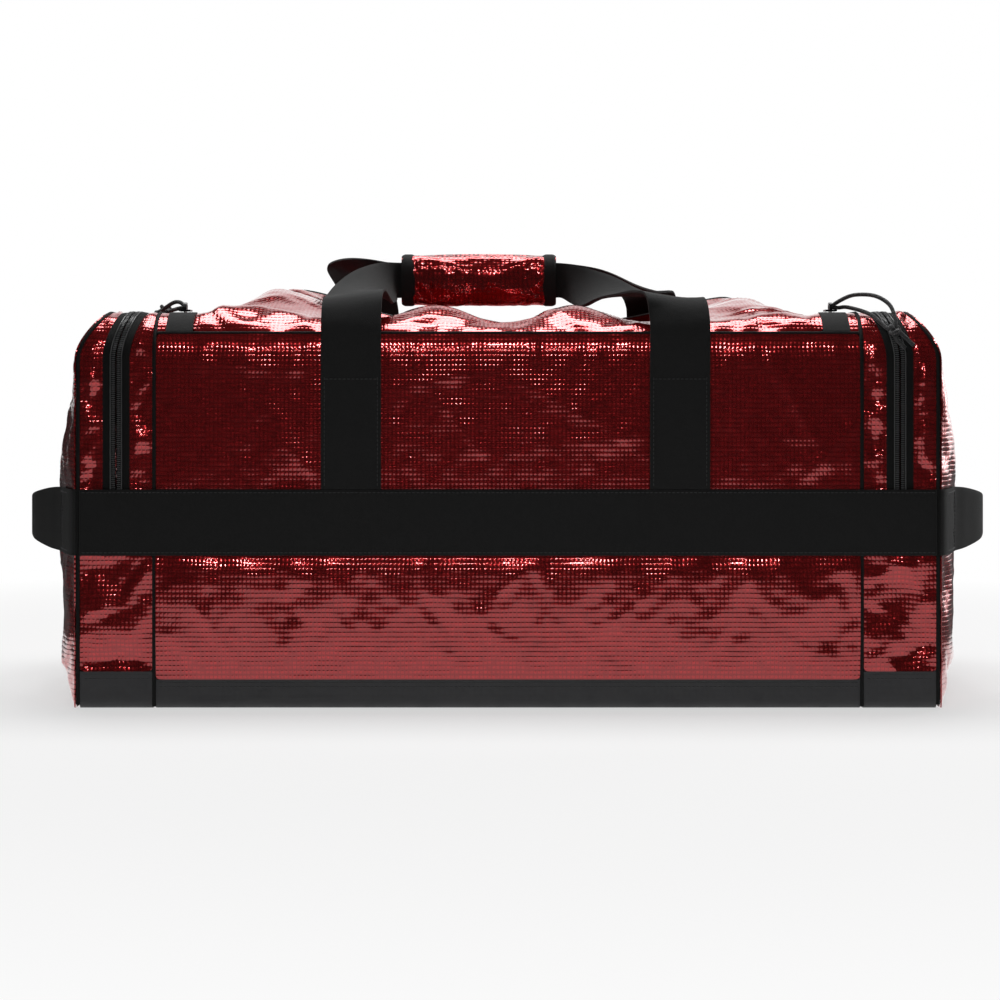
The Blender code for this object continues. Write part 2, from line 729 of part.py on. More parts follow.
rear_foot = (
    (0.0, 0.0, start, 0.0, 1.0),
    (0.0, 0.0, start + 0.6 * arch, 0.0, 1.0),
    (0.002, 0.0, start + 1.05 * arch, 0.0, 1.0),
)
rear_left = (
    (0.035, -0.10, HEIGHT + 0.0280, 0.0, 1.0),
    (0.14, -0.36, HEIGHT + 0.0460, 0.0, 1.0),
    (0.38, -0.58, HEIGHT + 0.0560, 0.20, 0.92),
    (0.68, -0.30, HEIGHT + 0.0530, 0.62, 0.80),
    (0.88, 0.15, HEIGHT + 0.0455, 1.20, 0.70),
    (0.975, 0.80, WRAP_Z, 1.5, grip),
)
rear_right = (
    (0.035, 0.02, HEIGHT + 0.0260, 0.0, 1.0),
    (0.14, 0.10, HEIGHT + 0.0350, 0.0, 1.0),
    (0.36, 0.26, HEIGHT + 0.0335, 0.05, 0.95),
    (0.62, 0.48, HEIGHT + 0.0310, 0.40, 0.86),
    (0.86, 0.72, HEIGHT + 0.0355, 1.05, 0.74),
    (0.975, 0.93, HEIGHT + 0.0405, 1.45, grip),
)
handle("rear_handle_strap", 1, REAR_GRIP_Y, rear_foot + rear_left, rear_foot + rear_right)

# Padded wrap: a thick fold round both straps, open to the rear, and the flap that closes it.
tall, deep = WRAP_HEIGHT / 2, WRAP_DEPTH / 2
lip = deep - 0.008
front_in = -deep + 0.011
curl = []
for k in range(9):
    angle = math.pi / 2 + math.pi * k / 8
    curl.append((-0.25 * deep + 0.75 * deep * math.cos(angle), tall * math.sin(angle)))
pad = [(lip, tall)] + curl + [(lip, -tall)]
pad += [(lip, -tall + WRAP_WALL), (front_in + 0.006, -tall + WRAP_WALL)]
pad += [(front_in, -tall + WRAP_WALL + 0.004), (front_in, tall - WRAP_WALL - 0.004)]
pad += [(front_in + 0.006, tall - WRAP_WALL), (lip, tall - WRAP_WALL)]
sections = [[(x, y, WRAP_Z + z) for y, z in pad] for x in (wrap_x0, wrap_x1)]
loft("handle_wrap", sections, RED, 0.4)
flap_in = lip + GAP
flap = [
    (flap_in, -tall),
    (deep - 0.003, -tall + 0.002),
    (deep, -tall + 0.012),
    (deep, tall - 0.012),
    (deep - 0.003, tall - 0.002),
    (flap_in, tall),
]
sections = [[(x, y, WRAP_Z + z) for y, z in flap] for x in (wrap_x0, wrap_x1)]
loft("handle_wrap_flap", sections, RED, 0.4)

# Sliders and their knotted cord pulls.
for end, side in (("left", -1), ("right", 1)):
    eye = slider(
        f"{end}_lid_slider",
        (side * LID_ZIP_X, SLIDER_START, HEIGHT),
        (0, 1, 0),
        (0, 0, 1),
    )
    if side > 0:
        steps = (
            (0.0670, -0.0560, -0.0430, 1.0),
            (0.0600, -0.0548, -0.0360, 1.0),
            (0.0540, -0.0530, -0.0270, 1.7),
            (0.0470, -0.0462, -0.0200, 1.0),
            (0.0350, -0.0325, -0.0080, 1.0),
            (0.0170, -0.0100, -0.0005, 1.0),
            (0.0060, 0.000, 0.0000, 1.0),
            (-0.0045, 0.000, 0.0000, 1.0),
            (-0.0080, -0.003, 0.0065, 1.0),
            (0.0000, -0.007, 0.0105, 1.0),
            (0.0200, -0.018, 0.0120, 1.0),
            (0.0400, -0.031, 0.0105, 1.0),
            (0.0530, -0.042, 0.0015, 1.0),
            (0.0575, -0.0500, -0.0120, 1.0),
            (0.0600, -0.0540, -0.0215, 1.7),
            (0.0680, -0.0555, -0.0330, 1.0),
            (0.0755, -0.0565, -0.0405, 1.0),
        )
    else:
        steps = (
            (0.0310, 0.0700, -0.0026, 1.0),
            (0.0275, 0.0610, -0.0026, 1.0),
            (0.0240, 0.0510, -0.0010, 1.6),
            (0.0215, 0.0410, -0.0026, 1.0),
            (0.0165, 0.0220, -0.0020, 1.0),
            (0.0100, 0.0060, -0.0004, 1.0),
            (0.0055, 0.0000, 0.0000, 1.0),
            (-0.0045, 0.0000, 0.0000, 1.0),
            (-0.0080, 0.0030, 0.0065, 1.0),
            (0.0000, 0.0080, 0.0105, 1.0),
            (0.0140, 0.0140, 0.0070, 1.0),
            (0.0250, 0.0240, 0.0010, 1.0),
            (0.0305, 0.0380, -0.0020, 1.0),
            (0.0330, 0.0500, -0.0010, 1.6),
            (0.0370, 0.0610, -0.0026, 1.0),
            (0.0410, 0.0700, -0.0026, 1.0),
        )
    cord = [(eye.x + side * u, eye.y + v, eye.z + w, r) for u, v, w, r in steps]
    tube(f"{end}_lid_pull_cord", cord, CORD, BLACK, 0.8, 2)
    eye = slider(
        f"{end}_pocket_slider",
        (side * POCKET_ZIP_X, HALF_DEPTH, POCKET_SLIDER_Z),
        (0, 0, 1),
        (0, 1, 0),
    )
    steps = (
        (0.0085, 0.006, -0.0640, 1.0),
        (0.0070, 0.006, -0.0560, 1.0),
        (0.0052, 0.006, -0.0470, 1.7),
        (0.0050, 0.005, -0.0380, 1.0),
        (0.0070, 0.003, -0.0220, 1.0),
        (0.0085, 0.001, -0.0090, 1.0),
        (0.0055, 0.000, 0.0000, 1.0),
        (-0.0055, 0.000, 0.0000, 1.0),
        (-0.0085, 0.001, -0.0090, 1.0),
        (-0.0070, 0.003, -0.0220, 1.0),
        (-0.0050, 0.005, -0.0380, 1.0),
        (-0.0052, 0.006, -0.0470, 1.7),
        (-0.0070, 0.006, -0.0560, 1.0),
        (-0.0085, 0.006, -0.0640, 1.0),
    )
    cord = [(eye.x + u, eye.y + v, eye.z + w, r) for u, v, w, r in steps]
    tube(f"{end}_pocket_pull_cord", cord, CORD, BLACK, 0.8, 2)


def pivot(name, place, pieces):
    """An empty on a joint's axis that carries the pieces moving with it."""
    empty = bpy.data.objects.new(name, None)
    empty.empty_display_size = 0.03
    empty.location = place
    PARTS.objects.link(empty)
    for piece in pieces:
        child = bpy.data.objects[piece]
        child.parent = empty
        child.matrix_parent_inverse = Matrix.Translation(-Vector(place))


seam_y, seam_z = outline(LID_SEAM)[:2]
pivot("lid_hinge", (0, seam_y, seam_z), ("lid_panel", "lid_zip_lid_tape"))
STITCH_Y = HALF_DEPTH + 1.6 * WEBBING
pivot(
    "front_handle_swing",
    (0, -STITCH_Y, STITCH_HEIGHT),
    ("front_handle_strap", "handle_wrap", "handle_wrap_flap"),
)
pivot("rear_handle_swing", (0, STITCH_Y, STITCH_HEIGHT), ("rear_handle_strap",))
for end, side in (("left", -1), ("right", 1)):
    pivot(
        f"{end}_flap_hinge",
        (side * (END_BASE + END_BULGE + 2 * GAP), 0, BELT_TOP),
        [f"{end}_{piece}" for piece in ("flap_panel", "flap_arch", "flap_zip_tape", "flap_binding")],
    )
    pivot(
        f"{end}_lid_slider_travel",
        (side * LID_ZIP_X, SLIDER_START, HEIGHT),
        (f"{end}_lid_slider", f"{end}_lid_pull_cord"),
    )
    pivot(
        f"{end}_pocket_slider_travel",
        (side * POCKET_ZIP_X, HALF_DEPTH, POCKET_SLIDER_Z),
        (f"{end}_pocket_slider", f"{end}_pocket_pull_cord"),
    )
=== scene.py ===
import math

import bmesh
import bpy
import numpy as np
from bpy.props import FloatProperty, FloatVectorProperty, IntProperty, PointerProperty
from bpy.types import Operator, Panel, PropertyGroup
from mathutils import Matrix, Vector


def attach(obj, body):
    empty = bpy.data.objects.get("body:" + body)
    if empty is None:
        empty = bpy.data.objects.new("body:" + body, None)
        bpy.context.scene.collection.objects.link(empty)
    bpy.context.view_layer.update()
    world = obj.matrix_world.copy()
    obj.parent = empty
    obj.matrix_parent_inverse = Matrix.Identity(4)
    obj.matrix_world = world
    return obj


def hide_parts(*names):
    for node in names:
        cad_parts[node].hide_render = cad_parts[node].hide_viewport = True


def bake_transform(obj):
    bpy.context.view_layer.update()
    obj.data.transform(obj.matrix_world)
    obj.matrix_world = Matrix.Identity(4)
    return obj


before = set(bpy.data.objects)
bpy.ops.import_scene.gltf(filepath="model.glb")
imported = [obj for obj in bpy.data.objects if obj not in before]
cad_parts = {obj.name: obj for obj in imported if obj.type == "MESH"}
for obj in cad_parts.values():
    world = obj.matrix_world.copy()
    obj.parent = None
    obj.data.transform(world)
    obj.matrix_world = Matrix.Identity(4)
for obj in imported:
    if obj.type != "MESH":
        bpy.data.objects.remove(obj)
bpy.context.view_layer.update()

bl_info = {
    "name": "Hockey equipment bag",
    "version": (1, 0, 0),
    "blender": (4, 5, 0),
    "location": "3D View > Sidebar > Bag",
    "description": "Sews, settles and dresses a soft hockey equipment bag on its rigid frame",
    "category": "Object",
}

# Lengths of the bag in metres: X along it, the front faces -Y, the base stands on Z = 0.
HALF_DEPTH = 0.200
HEIGHT = 0.397
TOP_RADIUS = 0.045
SEAM_X = 0.354
CORNER_X = 0.430
BINDING = 0.0026
GAP = 0.0003
SEAM_HALF = BINDING / 2 + GAP
END_BASE = CORNER_X + SEAM_HALF + 0.0023
END_BULGE = 0.0425
END_SLUMP = 0.026
SIDE_TOP = HEIGHT - TOP_RADIUS
FLAT_Y = HALF_DEPTH - TOP_RADIUS
ARC = math.pi / 2 * TOP_RADIUS
END_EDGE = SIDE_TOP + ARC
TOP_MIDDLE = SIDE_TOP + ARC + FLAT_Y
TOTAL = 2 * SIDE_TOP + 2 * ARC + 2 * FLAT_Y
LID_SEAM = SIDE_TOP + TOP_RADIUS * math.asin(24 / 45)
BELT_BOTTOM = 0.153
BELT_TOP = 0.219
BELT_WIDTH = BELT_TOP - BELT_BOTTOM
BELT_MIDDLE = (BELT_BOTTOM + BELT_TOP) / 2
BELT_HELD = 0.036
BELT_LIFT = 0.0006
SKIRT = 0.029
END_SKIRT = 0.037
GUSSET_TOP = BELT_TOP - 0.018
STITCH_Z = 0.338
STRAP_WIDTH = 0.060
STRAPS = (-0.157, 0.172)
STRAP_STITCH = 0.0265
STITCH_INSET = 0.003
ZIP_SLOT = 0.0018
TAPE_HALF = 0.0135
TAPE_THICK = 0.001
TAPE_NEAR = 0.8 * ZIP_SLOT / 2
ZIP_STEP = 0.006
ZIP_TURN = 0.014
POCKET_ZIP_X = 0.392
LID_ZIP_X = 0.330
LID_X = LID_ZIP_X - TAPE_HALF
LID_ZIP_END = SIDE_TOP + ARC + 2 * FLAT_Y - 0.010
BACK_START = LID_ZIP_END + TAPE_HALF
ZIP_FOOT = BELT_TOP - 0.014
MAIN_X = SEAM_X - SEAM_HALF
POCKET_IN = SEAM_X + SEAM_HALF
POCKET_OUT = CORNER_X - SEAM_HALF
WRAP_X = (-0.1145, 0.0525)
WRAP_LENGTH = WRAP_X[1] - WRAP_X[0]
WRAP_Z = 0.438
WRAP_TALL = 0.027
WRAP_DEEP = 0.018
WRAP_LIP = WRAP_DEEP - 0.0075
WRAP_BINDING = 0.014
GRIP_Y = (-0.0032, 0.0005)
GRIP_WIDTH = 0.038
GRAB_WIDTH = 0.034
SLIDER_Y = -0.147
SLIDER_REACH = 0.012
SLIDER_EYE = 0.0062
POCKET_SLIDER_Z = 0.231
DIVIDER_INSET = 0.0024
SIDES = (("left", -1), ("right", 1))
FACES = (("front", -1), ("back", 1))

# Soft rises of the lid: place along the bag, half width and height.
LID_HUMPS = ((-0.245, 0.088, 0.036), (0.262, 0.092, 0.028), (0.0, 0.09204, -0.009))
LID_FOLDS = ((-0.072, 0.046, 0.0205), (0.066, 0.042, 0.0200))
CORNER_FOLDS = ((-0.285, 0.045, 0.0095), (0.292, 0.045, 0.0075))


class BagSizes(PropertyGroup):
    """Sizes of the cloth, webbing, zips and thread."""

    fabric: FloatProperty(
        name="Fabric", description="Thickness of the coated mesh",
        default=0.0014, unit="LENGTH",
    )
    webbing: FloatProperty(
        name="Webbing", description="Thickness of the webbing",
        default=0.0025, unit="LENGTH",
    )
    mesh_across: FloatProperty(
        name="Mesh across", description="Width of one mesh cell",
        default=0.00415, unit="LENGTH",
    )
    mesh_along: FloatProperty(
        name="Mesh along", description="Length of one mesh cell",
        default=0.00485, unit="LENGTH",
    )
    cloth_step: FloatProperty(
        name="Cloth step", description="Spacing of the cloth's threads while it settles",
        default=0.0075, unit="LENGTH",
    )
    slack: FloatProperty(
        name="Slack", description="Spare length of cloth between seams",
        default=0.016, subtype="FACTOR",
    )
    settle: IntProperty(name="Settle", description="Steps in which the cloth settles", default=22)
    tooth: FloatProperty(
        name="Tooth pitch", description="Spacing of the zip's coil turns",
        default=0.0021, unit="LENGTH",
    )
    stitch: FloatProperty(
        name="Stitch pitch", description="Spacing of the stitches",
        default=0.0044, unit="LENGTH",
    )
    cord: FloatProperty(
        name="Cord", description="Diameter of the pull cords",
        default=0.0042, unit="LENGTH",
    )


class BagColours(PropertyGroup):
    """Colours of the finishes."""

    red: FloatVectorProperty(
        name="Red", description="Coated mesh between its threads",
        default=(0.38, 0.011, 0.013), subtype="COLOR",
    )
    thread_red: FloatVectorProperty(
        name="Thread red", description="Mesh threads under the coating",
        default=(0.25, 0.007, 0.008), subtype="COLOR",
    )
    webbing: FloatVectorProperty(
        name="Webbing", description="Woven straps and belt",
        default=(0.0060, 0.0062, 0.0062), subtype="COLOR",
    )
    base: FloatVectorProperty(
        name="Base", description="Coated base fabric",
        default=(0.023, 0.023, 0.025), subtype="COLOR",
    )
    tape: FloatVectorProperty(
        name="Zip tape", description="Woven tape of the zips",
        default=(0.0050, 0.0052, 0.0052), subtype="COLOR",
    )
    # The coil's grey is lighter than its black nylon: partly painted highlight along the zip's middle.
    coil: FloatVectorProperty(
        name="Zip coil", description="Nylon coil of the zips",
        default=(0.070, 0.071, 0.072), subtype="COLOR",
    )
    metal: FloatVectorProperty(
        name="Slider", description="Enamel of the zip sliders",
        default=(0.016, 0.016, 0.017), subtype="COLOR",
    )
    cord: FloatVectorProperty(
        name="Cord", description="Braided pull cords",
        default=(0.022, 0.022, 0.023), subtype="COLOR",
    )
    stitch: FloatVectorProperty(
        name="Stitching", description="Sewing thread",
        default=(0.013, 0.013, 0.014), subtype="COLOR",
    )
    board: FloatVectorProperty(
        name="Board", description="Stiffener in the base",
        default=(0.08, 0.08, 0.085), subtype="COLOR",
    )


class BagStage(PropertyGroup):
    """Camera and studio."""

    distance: FloatProperty(
        name="Distance", description="Camera to the bag's front",
        default=2.2, unit="LENGTH",
    )
    eye: FloatProperty(
        name="Eye height", description="Camera height above the floor",
        default=0.32, unit="LENGTH",
    )
    view: FloatProperty(
        name="View", description="Width seen at the bag's front",
        default=1.0, unit="LENGTH",
    )
    softbox: FloatProperty(
        name="Softbox", description="Strength of the light overhead",
        default=32.0, unit="POWER",
    )
    strip: FloatProperty(
        name="Front strip", description="Strength of the strip light in front",
        default=17.0, unit="POWER",
    )
    rear: FloatProperty(
        name="Rear strip", description="Strength of the light behind on the right",
        default=15.0, unit="POWER",
    )
    ambient: FloatProperty(name="Ambient", description="Strength of the room's light", default=0.04)


def smooth(t):
    t = np.clip(t, 0.0, 1.0)
    return t * t * (3 - 2 * t)


def power(value, exponent):
    """A power that keeps the value's sign."""
    return np.sign(value) * np.abs(value) ** exponent


def outline(d):
    """Points and outward normals of the bag's end view, d metres from the front bottom edge up and over."""
    d = np.asarray(d, float)
    back = d > TOTAL / 2
    e = np.where(back, TOTAL - d, d)
    angle = np.clip((e - SIDE_TOP) / TOP_RADIUS, 0, math.pi / 2)
    ny, nz = -np.cos(angle), np.sin(angle)
    y = -FLAT_Y + TOP_RADIUS * ny + np.maximum(e - SIDE_TOP - ARC, 0)
    z = np.minimum(e, SIDE_TOP) + TOP_RADIUS * nz
    return np.where(back, -y, y), z, np.where(back, -ny, ny), nz


def swell(x, rows):
    """Sum of soft rises along the bag."""
    return sum(high * np.exp(-(((x - middle) / wide) ** 2)) for middle, wide, high in rows)


def hump(x, d):
    """Height of the slack lid and of the back panel's top above the outline."""
    lift = swell(x, LID_HUMPS) * smooth((LID_X - np.abs(x)) / (0.22 * LID_X))
    lift = lift * smooth((d - LID_SEAM) / 0.18) * smooth((TOTAL - SIDE_TOP - d) / (1.1 * ARC))
    return lift + fold(x, d - LID_SEAM)


def fold(x, back):
    """Soft folds along the lid's front: two beside a notch under the handles, and one by each corner."""
    lift = swell(x, LID_FOLDS) + swell(x, CORNER_FOLDS) * smooth((LID_X - np.abs(x)) / 0.03)
    return lift * smooth(back / 0.068) * (1 - smooth((back - 0.10) / 0.20))


def slump(x, nz):
    """x moved inwards where the soft ends sink at the top; nz is the upward share of the skin's normal."""
    zip_in, zip_out = POCKET_ZIP_X - TAPE_HALF - GAP, POCKET_ZIP_X + TAPE_HALF + GAP
    share = np.clip((np.abs(x) - POCKET_IN) / (zip_in - POCKET_IN), 0, 1)
    share = share + np.clip((np.abs(x) - zip_out) / (POCKET_OUT - zip_out), 0, 1)
    return x - np.sign(x) * END_SLUMP / 2 * share * nz**1.5


def skin(x, d, out=0.0):
    """Points of the bag's outer skin at x along it and d round it, moved out along the normal."""
    x, d = np.broadcast_arrays(np.asarray(x, float), np.asarray(d, float))
    y, z, ny, nz = outline(d)
    return np.stack((slump(x, nz), y + out * ny, z + out * nz + hump(x, d)), axis=-1)


def skin_normal(x, d):
    """Outward normals of that skin, humps included."""
    step = 0.0005
    along = skin(x + step, d) - skin(x - step, d)
    up = skin(x, d + step) - skin(x, d - step)
    normal = np.cross(along, up)
    return normal / np.linalg.norm(normal, axis=-1, keepdims=True)


def end_height(e):
    """Half width and height of an end panel, e metres up its edge from the floor."""
    y, z, _, _ = outline(np.minimum(e, END_EDGE))
    return -y, z


def end_bulge(y, z):
    """How far the end panel stands out at a point of the end view."""
    middle = 0.42 * HEIGHT
    py, pz = np.abs(y), z - middle
    share = np.maximum(py / HALF_DEPTH, np.maximum(-pz / middle, pz / (HEIGHT - middle)))
    ay, az = FLAT_Y, SIDE_TOP - middle
    square = ay * ay + az * az - TOP_RADIUS**2
    dot = py * ay + pz * az
    root = np.sqrt(np.maximum(dot * dot - square * (py * py + pz * pz), 0))
    corner = (dot - root) / square
    inside = (py > share * ay) & (pz > share * az)
    share = np.clip(np.where(inside, np.maximum(share, corner), share), 0, 1)
    rim = middle + pz / np.maximum(share, 1e-6)
    sunk = END_SLUMP * np.clip((rim - SIDE_TOP) / TOP_RADIUS, 0, 1) ** 1.5
    return END_BASE + END_BULGE * (1 - share**2) - sunk * share**2


def through(keys, steps):
    """A smooth row of values through the keys, each a tuple of numbers."""
    keys = [np.array(key, float) for key in keys]
    found = []
    for i in range(len(keys) - 1):
        p, q = keys[max(i - 1, 0)], keys[i]
        r, s = keys[i + 1], keys[min(i + 2, len(keys) - 1)]
        for t in np.arange(steps) / steps:
            bend = (2 * p - 5 * q + 4 * r - s) * t * t + (3 * q - p - 3 * r + s) * t**3
            found.append((2 * q + (r - p) * t + bend) / 2)
    return np.array(found + [keys[-1]])


def only(obj):
    """Leaves this object alone selected and active."""
    bpy.ops.object.select_all(action="DESELECT")
    obj.select_set(True)
    bpy.context.view_layer.objects.active = obj


def finish_with(obj, kind, **settings):
    """Adds a modifier with these settings and applies it."""
    only(obj)
    change = obj.modifiers.new(kind.lower(), kind)
    for key, value in settings.items():
        setattr(change, key, value)
    bpy.ops.object.modifier_apply(modifier=change.name)


def edit_whole(obj, *steps):
    """Runs mesh operators, each with its settings, on the whole of an object."""
    only(obj)
    bpy.ops.object.mode_set(mode="EDIT")
    bpy.ops.mesh.select_all(action="SELECT")
    for operator, settings in steps:
        operator(**settings)
    bpy.ops.object.mode_set(mode="OBJECT")


def run_of(points):
    """Distance along a row of points at each of them."""
    return np.concatenate(([0], np.cumsum(np.linalg.norm(np.diff(points, axis=0), axis=1))))


def points_of(obj, what="co"):
    rows = np.empty(len(obj.data.vertices) * 3)
    obj.data.vertices.foreach_get(what, rows)
    return rows.reshape(-1, 3)


def place_points(obj, rows):
    obj.data.vertices.foreach_set("co", np.ascontiguousarray(rows).ravel())
    obj.data.update()


def cut_cloth(name, across, along, lay):
    """A grid of cloth. lay(u, v) gives its points and their places on the flat cut, in metres."""
    bpy.ops.object.select_all(action="DESELECT")
    bpy.ops.mesh.primitive_grid_add(x_subdivisions=across, y_subdivisions=along, size=2.0)
    obj = bpy.context.object
    obj.name = obj.data.name = name
    flat = points_of(obj)
    spots, cut = lay((flat[:, 0] + 1) / 2, (flat[:, 1] + 1) / 2)
    place_points(obj, spots)
    corner = np.empty(len(obj.data.loops), int)
    obj.data.loops.foreach_get("vertex_index", corner)
    obj.data.uv_layers[0].data.foreach_set("uv", np.ascontiguousarray(cut[corner]).ravel())
    return obj


def cut_of(obj):
    """Each point's place on the flat cut."""
    corner = np.empty(len(obj.data.loops), int)
    obj.data.loops.foreach_get("vertex_index", corner)
    loops = np.empty(len(obj.data.loops) * 2)
    obj.data.uv_layers[0].data.foreach_get("uv", loops)
    cut = np.zeros((len(obj.data.vertices), 2))
    cut[corner] = loops.reshape(-1, 2)
    return cut


def skin_cloth(name, x0, x1, d0, d1, out=0.0):
    """A panel of the bag's skin between two places along it and two distances round it."""
    step = bpy.context.scene.bag_sizes.cloth_step
    x0, x1 = sorted((x0, x1))

    def lay(u, v):
        x, d = x0 + (x1 - x0) * u, d0 + (d1 - d0) * v
        return skin(x, d, out), np.column_stack((x - x0, d - d0))

    return cut_cloth(name, max(4, round((x1 - x0) / step)), max(4, round((d1 - d0) / step)), lay)


def slacken(obj, held, slack, push, seed, bend=1.0):
    """Readies a sheet to settle: held points stay, and the rest has spare length and some air behind it."""
    rng = np.random.default_rng(seed)
    rows, normal = points_of(obj), points_of(obj, "normal")
    shake = rng.normal(0, 0.0004, len(rows)) * ~held
    place_points(obj, rows + normal * shake[:, None])
    group = obj.vertex_groups.new(name="held")
    group.add([int(i) for i in np.flatnonzero(held)], 1.0, "REPLACE")
    cloth = obj.modifiers.new("cloth", "CLOTH")
    cloth.settings.vertex_group_mass = "held"
    cloth.settings.quality = 6
    cloth.settings.mass = 0.2
    cloth.settings.tension_stiffness = 30
    cloth.settings.compression_stiffness = 30
    cloth.settings.shear_stiffness = 12
    cloth.settings.bending_stiffness = bend
    cloth.settings.shrink_min = -slack
    cloth.settings.use_pressure = True
    cloth.settings.uniform_pressure_force = push
    cloth.settings.effector_weights.gravity = 0.05
    cloth.collision_settings.use_collision = False
    cloth.point_cache.frame_end = 60


def settle(pieces, reach):
    """Runs the cloth of these sheets, keeps each point near its cut place, and fixes the folds."""
    before = {obj.name: points_of(obj) for obj in pieces}
    scene = bpy.context.scene
    for step in range(1, scene.bag_sizes.settle + 1):
        scene.frame_set(step)
    for obj in pieces:
        only(obj)
        bpy.ops.object.modifier_apply(modifier="cloth")
        obj.vertex_groups.clear()
        moved = points_of(obj) - before[obj.name]
        far = np.linalg.norm(moved, axis=1, keepdims=True)
        limit = reach[obj.name]
        keep = limit * np.tanh(far / limit) / np.maximum(far, 1e-9)
        place_points(obj, before[obj.name] + moved * keep)
    scene.frame_set(1)


def raise_points(obj, height, spare=None):
    """Moves a sheet's points out by these heights. spare gives the share of it at each point."""
    rows = points_of(obj)
    if spare is not None:
        height = height * spare(rows)
    place_points(obj, rows + points_of(obj, "normal") * height[:, None])


def crease(obj, seed, count, depth, length, lean=0.0, spread=1.0, spare=None):
    """Presses sharp folds into a sheet, running mostly at the lean angle on its flat cut."""
    cut = cut_of(obj)
    size = cut.max(axis=0)
    rng = np.random.default_rng(seed)
    height = np.zeros(len(cut))
    for _ in range(count):
        spot = rng.random(2) * size
        angle = lean + spread * rng.normal()
        long = length * rng.uniform(0.5, 1.5)
        sharp = rng.uniform(0.0018, 0.0045)
        rise = depth * rng.uniform(0.3, 1.0) * rng.choice((-1, 1))
        off = cut - spot
        s = off @ (math.cos(angle), math.sin(angle))
        t = off @ (-math.sin(angle), math.cos(angle)) + rng.normal(0, 2.0) * s * s
        wide = np.where(t > 0, sharp * rng.uniform(3, 7), sharp)
        height += rise * np.exp(-((s / long) ** 2)) * np.exp(-np.abs(t) / wide)
    height *= smooth(np.minimum(cut, size - cut).min(axis=1) / 0.010)
    raise_points(obj, height, spare)


def press(obj, folds, spare=None):
    """Presses single folds into a sheet: middle on the flat cut, angle, reach, rise and width of each."""
    cut = cut_of(obj)
    height = np.zeros(len(cut))
    for u, v, angle, reach, rise, wide in folds:
        off = cut - (u, v)
        turn = math.radians(angle)
        s = off @ (math.cos(turn), math.sin(turn))
        t = off @ (-math.sin(turn), math.cos(turn))
        fall = np.abs(t) / np.where(t > 0, wide, 0.5 * wide)
        height += rise * np.exp(-((s / reach) ** 2)) * np.exp(-fall)
    raise_points(obj, height, spare)


def thicken(obj, thickness, offset=-1.0):
    finish_with(obj, "SOLIDIFY", thickness=thickness, offset=offset, use_even_offset=False)
    only(obj)
    bpy.ops.object.shade_smooth_by_angle(angle=math.radians(50))


def coat(obj, finish):
    obj.data.materials.clear()
    obj.data.materials.append(FINISHES[finish])


def dress(obj, finish, body, *nodes):
    """Gives a piece its finish, hides the solids it stands for, and hangs it from its body's empty; a piece
    on a fold line is only baked in place.
    """
    coat(obj, finish)
    if nodes:
        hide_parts(*nodes)
    if isinstance(body, str):
        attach(obj, body)
    else:
        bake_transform(obj)
    return obj


def fold_line(end):
    """The bodies on either side of an end flap's fold, and where the cloth turns between them."""
    return "shell", f"{end}_flap", (0, 0, BELT_TOP - 0.016), (0, 0, BELT_TOP + 0.004)


FINISHES = {}


class Finish:
    """A material under construction: its shader and the nodes that lead to it."""

    def __init__(self, name, colour, roughness, **sockets):
        self.material = bpy.data.materials.new(name)
        self.material.use_nodes = True
        self.tree = self.material.node_tree
        self.shader = self.tree.nodes["Principled BSDF"]
        self.lead("Base Color", (*colour, 1.0))
        self.lead("Roughness", roughness)
        for key, value in sockets.items():
            self.lead(key.replace("_", " "), value)
        FINISHES[name] = self.material

    def set(self, node, socket, value):
        if isinstance(value, bpy.types.NodeSocket):
            self.tree.links.new(value, node.inputs[socket])
        else:
            node.inputs[socket].default_value = value

    def add(self, kind, values=None, **choices):
        node = self.tree.nodes.new(kind)
        for key, value in choices.items():
            setattr(node, key, value)
        for socket, value in (values or {}).items():
            self.set(node, socket, value)
        return node

    def sum(self, operation, first, second=0.0, third=0.0):
        values = {0: first, 1: second, 2: third}
        return self.add("ShaderNodeMath", values, operation=operation).outputs[0]

    def flat(self):
        """Across and along the flat cut, in metres."""
        parts = self.add("ShaderNodeSeparateXYZ", {0: self.add("ShaderNodeUVMap").outputs[0]})
        return parts.outputs[0], parts.outputs[1]

    def place(self):
        return self.add("ShaderNodeTexCoord").outputs["Object"]

    def ripple(self, value, pitch):
        """0 on each line of a row at this pitch, and 1 halfway between."""
        turn = self.sum("MULTIPLY", value, math.pi / pitch)
        return self.sum("ABSOLUTE", self.sum("SINE", turn))

    def speckle(self, scale, detail=2.0, where=None):
        values = {"Vector": where or self.place(), "Scale": scale, "Detail": detail}
        return self.add("ShaderNodeTexNoise", values).outputs[0]

    def mix(self, share, first, second):
        return self.add("ShaderNodeMix", {0: share, 6: first, 7: second}, data_type="RGBA").outputs[2]

    def ramp(self, value, low, high, first=0.0, last=1.0, kind="LINEAR"):
        values = {"Value": value, "From Min": low, "From Max": high, "To Min": first, "To Max": last}
        return self.add("ShaderNodeMapRange", values, interpolation_type=kind).outputs[0]

    def lead(self, socket, value):
        self.set(self.shader, socket, value)

    def colour(self, share, first, second):
        """Base colour from one to another by this share."""
        self.lead("Base Color", self.mix(share, first, second))

    def relief(self, height, distance, under=None):
        """A bump of this depth, laid over another one."""
        values = {"Height": height, "Distance": distance, "Strength": 1.0}
        if under is not None:
            values["Normal"] = under
        return self.add("ShaderNodeBump", values).outputs[0]


def shade(colour, share):
    return tuple(min(1.0, c * share) for c in colour) + (1.0,)


